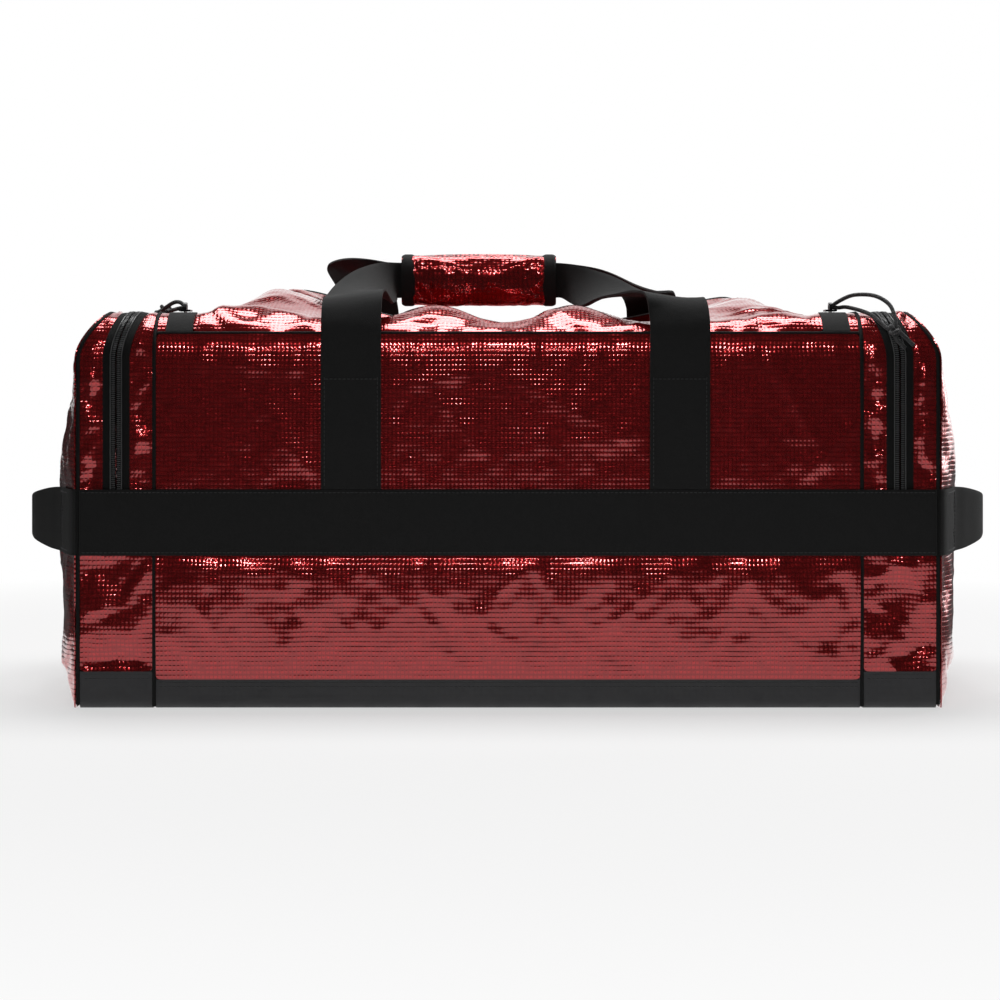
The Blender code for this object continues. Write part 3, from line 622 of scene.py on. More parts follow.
def coated_mesh():
    """Clear-coated red mesh: a grid of pillows between threads, under a slightly uneven film."""
    sizes, colours = bpy.context.scene.bag_sizes, bpy.context.scene.bag_colours
    base = {"Metallic": 0.68, "Specular_Tint": (1.0, 0.5, 0.5, 1.0)}
    clear = {"Coat_Weight": 1.0, "Coat_Roughness": 0.05, "Coat_IOR": 1.5}
    made = Finish("coated mesh", colours.red, 0.2, **base, **clear)
    across, along = made.flat()
    wave = made.speckle(38.0, 2.0)
    drift = made.sum("MULTIPLY", made.sum("SUBTRACT", wave, 0.5), 0.0008)
    across = made.sum("ADD", across, drift)
    along = made.sum("ADD", along, drift)
    bow = made.ripple(across, sizes.mesh_across)
    warp = made.ramp(bow, 0.04, 0.55, kind="SMOOTHSTEP")
    climb = made.sum("FRACT", made.sum("DIVIDE", along, sizes.mesh_along))
    weft = made.ramp(climb, 0.0, 0.55, kind="SMOOTHSTEP")
    weft = made.sum("MULTIPLY", weft, made.ramp(climb, 0.76, 1.0, 1.0, 0.0, kind="SMOOTHSTEP"))
    cell = made.sum("MULTIPLY", warp, weft)
    blotch = made.ramp(made.speckle(160.0, 3.0), 0.3, 0.7)
    tone = made.mix(blotch, shade(colours.red, 0.78), shade(colours.red, 1.18))
    made.colour(cell, (*colours.thread_red, 1.0), tone)
    made.lead("Roughness", made.ramp(blotch, 0.0, 1.0, 0.15, 0.22))
    film = made.relief(made.speckle(26.0, 3.0), 0.0003)
    skin_bumps = made.relief(made.sum("MULTIPLY", bow, weft), 0.00017, film)
    made.lead("Normal", skin_bumps)
    made.lead("Coat Normal", skin_bumps)


def webbing_weave():
    """Flat webbing: ribs across it, a fine twill and a little fuzz."""
    colours = bpy.context.scene.bag_colours
    sheen = {"Sheen_Weight": 0.06, "Sheen_Roughness": 0.5}
    made = Finish("webbing weave", colours.webbing, 0.8, **sheen, Specular_IOR_Level=0.3)
    across, along = made.flat()
    slope = made.sum("ADD", made.sum("MULTIPLY", across, 1.0), along)
    twill = made.ripple(slope, 0.0016)
    ribs = made.ripple(along, 0.0011)
    weave = made.sum("MULTIPLY", twill, ribs)
    fuzz = made.speckle(420.0, 2.0)
    tone = made.sum("ADD", made.sum("MULTIPLY", weave, 0.6), made.sum("MULTIPLY", fuzz, 0.6))
    low, high = shade(colours.webbing, 0.6), shade(colours.webbing, 1.7)
    made.colour(made.ramp(tone, 0.1, 1.0), low, high)
    made.lead("Normal", made.relief(weave, 0.00022, made.relief(fuzz, 0.0002)))


def base_cloth():
    """Matt coated base fabric with a fine plain weave and scuffs."""
    colours = bpy.context.scene.bag_colours
    made = Finish("base cloth", colours.base, 0.62)
    across, along = made.flat()
    weave = made.sum("MULTIPLY", made.ripple(across, 0.0012), made.ripple(along, 0.0012))
    scuff = made.ramp(made.speckle(55.0, 5.0), 0.42, 0.72)
    made.colour(scuff, shade(colours.base, 0.85), shade(colours.base, 1.5))
    made.lead("Roughness", made.ramp(scuff, 0.0, 1.0, 0.5, 0.66))
    made.lead("Normal", made.relief(weave, 0.0001, made.relief(made.speckle(22.0, 3.0), 0.0022)))


def zip_weave():
    """Zip tape in a narrow herringbone."""
    colours = bpy.context.scene.bag_colours
    made = Finish("zip tape", colours.tape, 0.8, Specular_IOR_Level=0.2)
    across, along = made.flat()
    row = made.sum("FRACT", made.sum("DIVIDE", across, 0.0032))
    row = made.sum("ABSOLUTE", made.sum("SUBTRACT", row, 0.5))
    bones = made.ripple(made.sum("ADD", along, made.sum("MULTIPLY", row, 0.003)), 0.0012)
    made.colour(bones, shade(colours.tape, 0.7), shade(colours.tape, 1.6))
    made.lead("Normal", made.relief(bones, 0.00025))


def plain_finishes():
    """Nylon coil in a grey lightened by painted highlight, enamelled slider, braided cord, sewing thread,
    seam binding and base board.
    """
    colours = bpy.context.scene.bag_colours
    # Coil turns and their sewn rows share this grey, which is partly painted highlight.
    coil = Finish("nylon coil with painted highlight", colours.coil, 0.34)
    coil.colour(coil.speckle(700.0), shade(colours.coil, 0.7), shade(colours.coil, 1.5))
    metal = Finish("slider enamel", colours.metal, 0.3, Metallic=0.55)
    worn = metal.ramp(metal.speckle(260.0, 4.0), 0.55, 0.75)
    metal.colour(worn, (*colours.metal, 1.0), (0.07, 0.07, 0.072, 1.0))
    metal.lead("Roughness", metal.ramp(worn, 0.0, 1.0, 0.26, 0.42))
    cord = Finish("braided cord", colours.cord, 0.72, Sheen_Weight=0.3)
    strands = cord.add("ShaderNodeTexVoronoi", {"Vector": cord.place(), "Scale": 620.0}).outputs["Distance"]
    cord.colour(strands, shade(colours.cord, 1.7), shade(colours.cord, 0.5))
    cord.lead("Normal", cord.relief(strands, -0.0006))
    thread = Finish("sewing thread", colours.stitch, 0.6, Sheen_Weight=0.2)
    ply = thread.speckle(900.0)
    thread.colour(ply, shade(colours.stitch, 0.6), shade(colours.stitch, 1.5))
    binding = Finish("seam binding", colours.tape, 0.8, Specular_IOR_Level=0.25)
    ribs = binding.speckle(520.0, 3.0)
    binding.colour(ribs, shade(colours.tape, 0.6), shade(colours.tape, 1.6))
    binding.lead("Normal", binding.relief(ribs, 0.0003))
    board = Finish("base board", colours.board, 0.7)
    grain = board.speckle(300.0, 4.0)
    board.colour(grain, shade(colours.board, 0.8), shade(colours.board, 1.2))
    board.lead("Normal", board.relief(grain, 0.0002))


class BAG_OT_stage(Operator):
    """Sets the pale floor, the lamps, the dark screens round the bag and the camera."""

    bl_idname = "bag.stage"
    bl_label = "Studio and camera"

    # Name, lower and upper radius, lower and upper edge of each screen.
    screens = (
        ("dark_floor", 1.3, 5.0, 0.0, 0.03),
        ("curtain", 5.0, 4.2, 0.03, 4.2),
        ("ceiling", 4.2, 0.02, 4.2, 4.6),
    )
    # Name, place, aim and size of each lamp.
    lamps = (
        ("softbox", (0.0, 0.25, 1.8), (0.0, 0.0, 0.3), (1.5, 0.7)),
        ("front_strip", (-0.15, -3.2, 1.95), (0.0, 0.0, 0.3), (0.35, 0.35)),
        ("rear_strip", (2.6, 2.2, 1.0), (0.3, 0.0, 0.3), (1.0, 1.6)),
    )
    sensor = 36.0
    view_x = -0.008
    view_z = 0.2085
    # Kinds of ray that meet the floor and the room as plain white.
    mirrored = ("Is Glossy Ray", "Is Transmission Ray")

    def execute(self, context):
        scene, stage = context.scene, context.scene.bag_stage
        scene.view_settings.view_transform = "Standard"
        bpy.ops.object.select_all(action="DESELECT")
        bpy.ops.mesh.primitive_plane_add(size=40.0, location=(0, 0, -0.0006))
        floor = context.object
        floor.name = "floor"
        self.floor_finish(floor)
        self.hang_screens(context)
        self.room(scene, stage)
        for lamp, power in zip(self.lamps, (stage.softbox, stage.strip, stage.rear)):
            self.lamp(*lamp, power)
        place = (self.view_x, -HALF_DEPTH - stage.distance, stage.eye)
        bpy.ops.object.camera_add(location=place, rotation=(math.pi / 2, 0, 0))
        camera = context.object
        camera.data.lens = self.sensor * stage.distance / stage.view
        camera.data.sensor_width = self.sensor
        camera.data.shift_y = (self.view_z - stage.eye) / stage.view
        camera.data.clip_end = 100.0
        scene.camera = camera
        return {"FINISHED"}

    def hang_screens(self, context):
        """Dark rings round the bag, met by reflections only."""
        # The screens' faint glow is painted light, seen only in the bag's reflections.
        glow = {"Emission_Color": (1, 1, 1, 1), "Emission_Strength": 0.03}
        cloth = Finish("curtain cloth", (0.012, 0.012, 0.013), 0.95, **glow)
        for name, near, far, low, high in self.screens:
            ring = {"radius1": near, "radius2": far, "depth": high - low}
            middle = (0, 0, (low + high) / 2)
            bpy.ops.mesh.primitive_cone_add(vertices=96, end_fill_type="NOTHING", location=middle, **ring)
            screen = context.object
            screen.name = name
            if name == "dark_floor":
                self.narrow(screen)
            if name == "curtain":
                self.open_rear(screen)
            screen.data.materials.append(cloth.material)
            screen.visible_camera = False
            screen.visible_shadow = False
            screen.visible_diffuse = False

    def lamp(self, name, place, aim, size, power):
        turn = (Vector(aim) - Vector(place)).to_track_quat("-Z", "Y").to_euler()
        bpy.ops.object.light_add(type="AREA", location=place, rotation=turn)
        lamp = bpy.context.object
        lamp.name = name
        lamp.data.shape = "RECTANGLE"
        lamp.data.size, lamp.data.size_y = size
        lamp.data.energy = power

    def narrow(self, screen):
        """Draws the dark floor's inner edge in at the bag's ends."""
        for vert in screen.data.vertices:
            if vert.co.to_2d().length < 2.0:
                vert.co.x *= 0.55

    def open_rear(self, screen):
        """Leaves the curtain out behind and to the right of the bag, where the white room shows."""
        shape = bmesh.new()
        shape.from_mesh(screen.data)
        rear = Vector((0.42, 0.91))
        ways = [(face, face.calc_center_median().to_2d().normalized()) for face in shape.faces]
        faces = [face for face, way in ways if way.dot(rear) > 0.64]
        bmesh.ops.delete(shape, geom=faces, context="FACES")
        shape.to_mesh(screen.data)
        shape.free()

    def floor_finish(self, floor):
        """Pale floor: white to the eye and in reflections, and still shaded by what stands on it."""
        made = Finish("pale floor", (0.9, 0.9, 0.9), 0.9, Specular_IOR_Level=0.1)
        seen = made.add("ShaderNodeLightPath")
        away = made.add("ShaderNodeVectorMath", {0: made.place()}, operation="LENGTH").outputs["Value"]
        looked = made.sum("MULTIPLY", seen.outputs["Is Camera Ray"], made.ramp(away, 0.5, 1.5, 0.6, 1.0))
        for ray in self.mirrored:
            looked = made.sum("MAXIMUM", looked, seen.outputs[ray])
        glow = made.add("ShaderNodeEmission", {"Strength": 1.0})
        parts = {0: looked, 1: made.shader.outputs[0], 2: glow.outputs[0]}
        blend = made.add("ShaderNodeMixShader", parts)
        made.tree.links.new(blend.outputs[0], made.tree.nodes["Material Output"].inputs[0])
        floor.data.materials.append(made.material)

    def room(self, scene, stage):
        """White room to the eye, dimmer as a light."""
        world = bpy.data.worlds.new("room")
        scene.world = world
        world.use_nodes = True
        tree = world.node_tree
        air = tree.nodes["Background"]
        air.inputs["Color"].default_value = (1, 1, 1, 1)
        seen = tree.nodes.new("ShaderNodeLightPath")
        looked = seen.outputs["Is Camera Ray"]
        for ray in self.mirrored:
            larger = tree.nodes.new("ShaderNodeMath")
            larger.operation = "MAXIMUM"
            tree.links.new(looked, larger.inputs[0])
            tree.links.new(seen.outputs[ray], larger.inputs[1])
            looked = larger.outputs[0]
        level = tree.nodes.new("ShaderNodeMapRange")
        level.inputs["To Min"].default_value = stage.ambient
        level.inputs["To Max"].default_value = 1.0
        tree.links.new(looked, level.inputs["Value"])
        tree.links.new(level.outputs[0], air.inputs["Strength"])


class BAG_OT_finishes(Operator):
    """Mixes the cloth, webbing, zip, cord and thread finishes."""

    bl_idname = "bag.finishes"
    bl_label = "Finishes"

    def execute(self, context):
        coated_mesh()
        webbing_weave()
        base_cloth()
        zip_weave()
        plain_finishes()
        return {"FINISHED"}


def cord_line(name, points, thickness):
    """A cord along a smooth row of points."""
    bpy.ops.object.select_all(action="DESELECT")
    bpy.ops.curve.primitive_nurbs_path_add()
    obj = bpy.context.object
    obj.name = obj.data.name = name
    obj.data.splines.clear()
    line = obj.data.splines.new("POLY")
    line.points.add(len(points) - 1)
    for point, spot in zip(line.points, points):
        point.co = (*spot, 1.0)
    obj.data.bevel_depth = thickness / 2
    obj.data.bevel_resolution = 3
    obj.data.use_fill_caps = True
    return obj


def knot(name, centre, size, thickness, turn):
    """An overhand knot: a closed tube with three crossings."""
    t = np.linspace(0, 2 * math.pi, 37)
    x, y = np.sin(t) + 2 * np.sin(2 * t), np.cos(t) - 2 * np.cos(2 * t)
    loop = np.column_stack((x, y, -1.4 * np.sin(3 * t)))
    angle = Matrix.Rotation(turn, 3, "Y") @ Matrix.Rotation(0.6, 3, "X")
    points = (loop * size) @ np.array(angle).T + np.array(centre)
    obj = cord_line(name, points[:-1], thickness)
    obj.data.splines[0].use_cyclic_u = True
    only(obj)
    bpy.ops.object.convert(target="MESH")
    bpy.ops.object.shade_smooth()
    return bpy.context.object


class BAG_OT_cords(Operator):
    """Threads a knotted pull cord through each slider's eye."""

    bl_idname = "bag.cords"
    bl_label = "Pull cords"

    # Each strand runs through these points, measured from its slider's eye.
    hanging = (
        (0, 0, 0), (0.0060, 0.0005, -0.0040), (0.0078, 0.0020, -0.0130), (0.0070, 0.0036, -0.0230),
        (0.0046, 0.0052, -0.0380), (0.0036, 0.0062, -0.0470), (0.0066, 0.0062, -0.0560),
        (0.0085, 0.0060, -0.0640),
    )
    routes = {
        "right_lid": (
            (
                (0, 0, 0), (0.010, -0.006, 0.007), (0.022, -0.018, 0.0118),
                (0.040, -0.031, 0.0105), (0.053, -0.042, 0.0015), (0.0575, -0.0500, -0.0120),
                (0.0585, -0.0535, -0.0225), (0.068, -0.0555, -0.0330), (0.0755, -0.0565, -0.0405),
            ),
            (
                (0, 0, 0), (0.008, -0.0015, -0.0005), (0.017, -0.0100, -0.0005),
                (0.0350, -0.0325, -0.0080), (0.0470, -0.0462, -0.0200), (0.0510, -0.0500, -0.0235),
                (0.0545, -0.0530, -0.0270), (0.0600, -0.0548, -0.0360), (0.067, -0.0560, -0.0430),
            ),
        ),
        "left_lid": (
            (
                (0, 0, 0), (0.006, 0.006, 0.005), (0.0140, 0.0150, 0.0055),
                (0.0245, 0.0260, 0.0005), (0.0305, 0.0380, -0.0022), (0.0318, 0.0500, -0.0010),
                (0.0370, 0.0610, -0.0026), (0.0410, 0.0700, -0.0026),
            ),
            (
                (0, 0, 0), (0.0070, 0.0030, -0.0010), (0.0120, 0.0110, -0.0018),
                (0.0170, 0.0230, -0.0022), (0.0218, 0.0410, -0.0024), (0.0252, 0.0510, -0.0014),
                (0.0270, 0.0610, -0.0026), (0.0300, 0.0700, -0.0026),
            ),
        ),
        "pocket": (hanging, tuple((-x, y, z) for x, y, z in hanging)),
    }

    def execute(self, context):
        thick = context.scene.bag_sizes.cord
        for end, side in SIDES:
            lid_eye = np.array((side * LID_ZIP_X, SLIDER_Y, HEIGHT + SLIDER_EYE))
            pocket_eye = np.array((side * POCKET_ZIP_X, HALF_DEPTH + SLIDER_EYE, POCKET_SLIDER_Z))
            self.pull(f"{end}_lid", lid_eye, self.routes[f"{end}_lid"], (side, 1, 1), thick)
            self.pull(f"{end}_pocket", pocket_eye, self.routes["pocket"], (1, 1, 1), thick)
        return {"FINISHED"}

    def pull(self, name, eye, routes, turned, thick):
        strands = []
        for k, route in enumerate(routes):
            line = through([eye + np.array(turned) * spot for spot in route], 5)
            strand = cord_line(f"{name}_cord_{k + 1}", line, thick)
            strands.append((strand, line))
        middle = sum(line[-11] for _, line in strands) / 2
        tie = knot(f"{name}_cord_knot", middle, 0.00185, thick * 0.95, 0.4)
        dress(tie, "braided cord", f"{name}_slider")
        for strand, line in strands:
            dress(strand, "braided cord", f"{name}_slider", f"{name}_pull_cord")
            length = float(np.linalg.norm(np.diff(line, axis=0), axis=1).sum())


def under_webbing(x, z):
    """True where the belt or a sewn strap holds a panel flat."""
    held = (z > BELT_BOTTOM - 0.002) & (z < BELT_TOP + 0.002)
    for middle in STRAPS:
        held = held | ((np.abs(x - middle) < STRAP_WIDTH / 2 + 0.001) & (z > BELT_TOP) & (z < HEIGHT))
    return held


def edges(cut, margin):
    size = cut.max(axis=0)
    return ((cut < margin) | (cut > size - margin)).any(axis=1)


def border(obj):
    """True at the points on a sheet's outer edge."""
    shape = bmesh.new()
    shape.from_mesh(obj.data)
    found = np.array([vert.is_boundary for vert in shape.verts])
    shape.free()
    return found


def at_belt(obj):
    """True at the points under the belt and just beside it."""
    return np.abs(points_of(obj)[:, 2] - BELT_MIDDLE) < BELT_HELD


def off_belt(points):
    """How free a gusset's cloth is, from 0 under the belt to 1 away from it."""
    return smooth((np.abs(points[:, 2] - BELT_MIDDLE) - BELT_WIDTH / 2) / 0.010)


# Folds of the front panel: place along the bag and up it, angle, reach, rise and width.
FRONT_FOLDS = (
    (-0.296, 0.078, -55, 0.045, 0.0015, 0.011), (-0.324, 0.058, -40, 0.028, 0.0013, 0.010),
    (-0.208, 0.116, -5, 0.100, 0.0008, 0.010), (-0.278, 0.138, -8, 0.070, 0.0008, 0.009),
    (-0.003, 0.121, 45, 0.018, 0.0012, 0.009), (-0.020, 0.080, -56, 0.030, 0.0011, 0.008),
    (0.046, 0.126, 65, 0.018, 0.0012, 0.009), (0.142, 0.116, 40, 0.028, 0.0013, 0.012),
    (0.107, 0.086, 50, 0.016, 0.0012, 0.008), (0.190, 0.118, 40, 0.028, 0.0013, 0.011),
    (0.237, 0.125, 65, 0.024, 0.0013, 0.010), (0.340, 0.088, 75, 0.048, 0.0014, 0.012),
    (-0.258, 0.344, -5, 0.070, 0.0018, 0.020), (-0.208, 0.248, -45, 0.036, 0.0016, 0.013),
    (-0.068, 0.330, 10, 0.052, 0.0018, 0.020), (-0.052, 0.288, -50, 0.042, 0.0016, 0.016),
    (0.052, 0.306, -30, 0.062, 0.0018, 0.018), (0.110, 0.270, 5, 0.060, 0.0012, 0.018),
    (0.290, 0.300, -60, 0.060, 0.0016, 0.015), (0.325, 0.262, 50, 0.045, 0.0016, 0.013),
)


def off_webbing(points):
    """How free a panel's cloth is, from 0 under the belt and straps to 1 away from them."""
    x, z = points[:, 0], points[:, 2]
    off = np.maximum(np.maximum(BELT_BOTTOM - z, z - BELT_TOP), 0)
    for middle in STRAPS:
        side = np.maximum(np.abs(x - middle) - STRAP_WIDTH / 2, 0)
        off = np.minimum(off, side)
    return smooth(off / 0.012)


class BAG_OT_panels(Operator):
    """Cuts the coated mesh panels, lets them settle slack between their seams, and creases them."""

    bl_idname = "bag.panels"
    bl_label = "Coated mesh panels"

    def execute(self, context):
        sizes = context.scene.bag_sizes
        front, back, lid = self.cut_main(sizes.slack)
        strips = self.cut_strips(3.0 * sizes.slack)
        ends = self.cut_ends(1.6 * sizes.slack)
        reach = {"front_sheet": 0.006, "back_sheet": 0.006, "lid_sheet": 0.011}
        reach.update({strip.name: 0.0045 for strip, *_ in strips})
        reach.update({panel.name: 0.004 for panel, _ in ends})
        pieces = [front, back, lid, *(strip for strip, *_ in strips), *(panel for panel, _ in ends)]
        laid = [(panel, points_of(panel)) for panel in (front, back)]
        settle(pieces, reach)
        for panel, rows in laid:
            self.draw_flat(panel, rows)
        for piece in pieces:
            finish_with(piece, "SUBSURF", levels=1, render_levels=1)
        self.press_main(front, back)
        crease(lid, 5, 46, 0.0038, 0.050, 0.4, 1.0)
        for k, (strip, *_) in enumerate(strips):
            crease(strip, 60 + k, 40 if "arch" in strip.name else 16, 0.0026, 0.024, 0.2, 0.6, off_belt)
        for k, (panel, _) in enumerate(ends):
            crease(panel, 84 + k, 40, 0.0022, 0.045, 0.6, 1.2)
        for piece in pieces:
            thicken(piece, sizes.fabric)
        dress(front, "coated mesh", "shell", "front_panel")
        dress(back, "coated mesh", "shell", "back_panel")
        dress(lid, "coated mesh", "lid", "lid_panel")
        for strip, body, node, _ in strips:
            dress(strip, "coated mesh", body, node)
        for panel, end in ends:
            dress(panel, "coated mesh", fold_line(end), f"{end}_end_panel", f"{end}_flap_panel")
        for piece in pieces:
            size = cut_of(piece).max(axis=0)
        for end, side in SIDES:
            self.sew_strip(end, side, sizes.fabric)
            self.hang_divider(end, side, sizes.fabric)
        return {"FINISHED"}

    def cut_main(self, slack):
        """The front, the back and the lid, held at their edges and under the webbing."""
        front = skin_cloth("front_sheet", -MAIN_X, MAIN_X, SKIRT, LID_SEAM - SEAM_HALF)
        back = skin_cloth("back_sheet", -MAIN_X, MAIN_X, BACK_START, TOTAL - SKIRT)
        lid = skin_cloth("lid_sheet", -LID_X, LID_X, LID_SEAM + SEAM_HALF, LID_ZIP_END - TAPE_HALF)
        self.slack_panel(front, 0.6 * slack, 0.2, 11)
        self.slack_panel(back, 0.6 * slack, 0.2, 12)
        slacken(lid, edges(cut_of(lid), 0.002), 2.2 * slack, 0.5, 13, 0.6)
        return front, back, lid

    def cut_strips(self, slack):
        """The pockets' gussets and arches: each sheet with its body, its solid and its flat area."""
        strips = []
        for end, side in SIDES:
            near, far = side * POCKET_IN, side * POCKET_OUT
            inner, outer = side * (POCKET_ZIP_X - TAPE_HALF), side * (POCKET_ZIP_X + TAPE_HALF)
            rows = (
                ("front_gusset", near, far, END_SKIRT, GUSSET_TOP, "shell"),
                ("back_gusset", near, far, TOTAL - GUSSET_TOP, TOTAL - END_SKIRT, "shell"),
                ("pocket_arch", near, inner, GUSSET_TOP, TOTAL - GUSSET_TOP, "shell"),
                ("flap_arch", outer, far, GUSSET_TOP, TOTAL - GUSSET_TOP, fold_line(end)),
            )
            for name, x0, x1, d0, d1, body in rows:
                strip = skin_cloth(f"{end}_{name}_sheet", x0, x1, d0, d1)
                area = sum(face.area for face in strip.data.polygons)
                strips.append((strip, body, f"{end}_{name}", area))
        for k, (strip, *_) in enumerate(strips):
            slacken(strip, edges(cut_of(strip), 0.001) | at_belt(strip), slack, 0.3, 20 + k, 0.3)
        return strips

    def cut_ends(self, slack):
        """The bulging ends, held round their rims, at the floor and under the grab handles' feet."""
        ends = []
        for end, side in SIDES:
            panel = self.end_panel(f"{end}_end_sheet", side)
            foot = (np.abs(points_of(panel)[:, 1]) > 0.12) & at_belt(panel)
            floor = cut_of(panel)[:, 1] < 0.003
            slacken(panel, foot | border(panel) | floor, slack, -0.1, 40 + side, 0.6)
            ends.append((panel, end))
        return ends

    def draw_flat(self, panel, laid):
        """Draws a settled panel back towards its laid points, and bows it out below the belt."""
        y, z = laid[:, 1], laid[:, 2]
        share = np.where(z > BELT_TOP, 0.06, 0.75)[:, None]
        loose = laid + (points_of(panel) - laid) * share
        below = np.clip((z - SKIRT) / (BELT_BOTTOM - SKIRT), 0, 1)
        loose[:, 1] += np.sign(y) * 0.0032 * below * smooth((BELT_BOTTOM - z) / 0.014)
        place_points(panel, loose)

    def press_main(self, front, back):
        """Presses the front's folds, its gathers under the lid's seam, and the like on the back."""
        for panel, seed in ((front, 3), (back, 4)):
            crease(panel, seed, 24, 0.0005, 0.030, 1.0, 0.7, off_webbing)
        rng = np.random.default_rng(6)
        folds = list(FRONT_FOLDS)
        for x in rng.uniform(-0.34, 0.34, 44):
            z, lean = LID_SEAM - rng.uniform(0.014, 0.034), rng.normal(90, 14)
            folds.append((x, z, lean, rng.uniform(0.008, 0.02), rng.uniform(0.0004, 0.0011), 0.005))
        press(front, [(MAIN_X + x, z - SKIRT, *rest) for x, z, *rest in folds], off_webbing)
        turned = [(MAIN_X + x, TOTAL - z - BACK_START, -lean, *rest) for x, z, lean, *rest in FRONT_FOLDS]
        press(back, turned, off_webbing)

    def slack_panel(self, panel, slack, push, seed):
        rows = points_of(panel)
        held = edges(cut_of(panel), 0.002) | under_webbing(rows[:, 0], rows[:, 2])
        slacken(panel, held, slack, push, seed)

    def end_panel(self, name, side):
        """A bulging end panel from the floor to the top, round its own outline."""

        def lay(u, v):
            half, z = end_height(v * END_EDGE)
            across = (2 * u - 1) * half
            y = across * side
            cut = np.column_stack((across + HALF_DEPTH, v * END_EDGE))
            return np.column_stack((side * end_bulge(y, z), y, z)), cut

        step = bpy.context.scene.bag_sizes.cloth_step
        return cut_cloth(name, round(2 * HALF_DEPTH / step), round(END_EDGE / step), lay)

    def sew_strip(self, end, side, fabric):
        """The narrow strip beside the lid zip."""
        near = side * (LID_ZIP_X + TAPE_HALF)
        strip = skin_cloth(f"{end}_top_strip_sheet", near, side * MAIN_X, LID_SEAM + SEAM_HALF, BACK_START)
        thicken(strip, fabric)
        dress(strip, "coated mesh", "shell", f"{end}_top_strip")

    def hang_divider(self, end, side, fabric):
        """The wall between the main compartment and a pocket."""

        def lay(u, v):
            half, z = end_height(v * END_EDGE)
            y = (2 * u - 1) * (half - DIVIDER_INSET)
            z = DIVIDER_INSET + z * (HEIGHT - 2 * DIVIDER_INSET) / HEIGHT
            return np.column_stack((0 * y + side * SEAM_X, y, z)), np.column_stack((y + HALF_DEPTH, z))

        wall = cut_cloth(f"{end}_divider_sheet", 40, 40, lay)
        crease(wall, 90 + side, 14, 0.0010, 0.06, 0.5, 1.0)
        thicken(wall, fabric, 0.0)
        dress(wall, "coated mesh", "shell", f"{end}_divider")


class BAG_OT_base(Operator):
    """Folds the base trays up into their skirts and finishes the board inside."""

    bl_idname = "bag.base"
    bl_label = "Base and skirts"

    def execute(self, context):
        fabric = context.scene.bag_sizes.fabric
        tray = self.tray("base_tray", -MAIN_X, MAIN_X, SKIRT)
        self.finish_tray(tray, fabric, "base_panel", "front_skirt", "back_skirt")
        for end, side in SIDES:
            tray = self.tray(f"{end}_pocket_tray", side * POCKET_IN, side * POCKET_OUT, END_SKIRT)
            self.finish_tray(tray, fabric, f"{end}_pocket_base")
        coat(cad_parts["base_board"], "base board")
        return {"FINISHED"}

    def tray(self, name, x0, x1, rise):
        """A strip of base cloth: down the front, under the bag and up the back, with rounded edges."""
        x0, x1 = sorted((x0, x1))
        turn = 0.006
        bend = math.pi / 2 * turn
        wall = rise - turn
        under = 2 * (HALF_DEPTH - turn)
        total = 2 * wall + 2 * bend + under

        def lay(u, v):
            far = v > 0.5
            run = np.where(far, total * (1 - v), total * v)
            angle = np.clip((run - wall) / turn, 0, math.pi / 2)
            y = -HALF_DEPTH + turn - turn * np.cos(angle) + np.maximum(run - wall - bend, 0)
            z = turn - turn * np.sin(angle) + np.maximum(wall - run, 0)
            x = x0 + (x1 - x0) * u
            return np.column_stack((x, np.where(far, -y, y), z)), np.column_stack((x - x0, total * v))

        made = cut_cloth(name, max(8, round((x1 - x0) / 0.012)), 110, lay)
        edit_whole(made, (bpy.ops.mesh.flip_normals, {}))
        return made

    def finish_tray(self, tray, fabric, *nodes):
        size = cut_of(tray).max(axis=0)
        thicken(tray, fabric)
        dress(tray, "base cloth", "shell", *nodes)


def tape_cloth(name, stops):
    """Zip tape through stops of inner point, outer point and normal, with its weave along it."""
    inner, outer, normal = (np.array(part) for part in zip(*stops))
    run = run_of(outer)
    rows = len(stops) - 1

    def lay(u, v):
        i = np.rint(v * rows).astype(int)
        share = u[:, None]
        spots = inner[i] * (1 - share) + outer[i] * share
        spots = spots + normal[i] * (0.0005 * np.sin(np.pi * share))
        return spots, np.column_stack((u * TAPE_HALF, run[i]))

    obj = cut_cloth(name, 5, rows, lay)
    face = obj.data.polygons[len(obj.data.polygons) // 2]
    middle = normal[rows // 2]
    if face.normal.dot(Vector(middle)) < 0:
        edit_whole(obj, (bpy.ops.mesh.flip_normals, {}))
    thicken(obj, TAPE_THICK)
    return obj


def spaced(points, pitch, extra=()):
    """Points, directions and other rows at an even pitch along a line."""
    points = np.asarray(points, float)
    run = run_of(points)
    marks = np.arange(pitch / 2, run[-1], pitch)

    def at(where, rows):
        return np.column_stack([np.interp(where, run, rows[:, k]) for k in range(3)])

    along = at(marks + 0.0004, points) - at(marks - 0.0004, points)
    along /= np.maximum(np.linalg.norm(along, axis=1, keepdims=True), 1e-9)
    return at(marks, points), along, [at(marks, np.asarray(part)) for part in extra]


def scatter(name, pattern, places, along, normal):
    """Copies a small modelled pattern to each place, its X along the line and its Z along the normal."""
    normal = normal - along * (normal * along).sum(axis=1, keepdims=True)
    normal = normal / np.maximum(np.linalg.norm(normal, axis=1, keepdims=True), 1e-9)
    across = np.cross(normal, along)
    base = points_of(pattern)
    faces = [tuple(face.vertices) for face in pattern.data.polygons]
    spots = places[:, None, :]
    for part, way in zip(base.T, (along, across, normal)):
        spots = spots + part[None, :, None] * way[:, None, :]
    count = len(base)
    rings = [tuple(i + k * count for i in face) for k in range(len(places)) for face in faces]
    mesh = bpy.data.meshes.new(name)
    mesh.from_pydata(spots.reshape(-1, 3).tolist(), [], rings)
    obj = bpy.data.objects.new(name, mesh)
    bpy.context.scene.collection.objects.link(obj)
    only(obj)
    bpy.ops.object.shade_smooth_by_angle(angle=math.radians(60))
    return obj


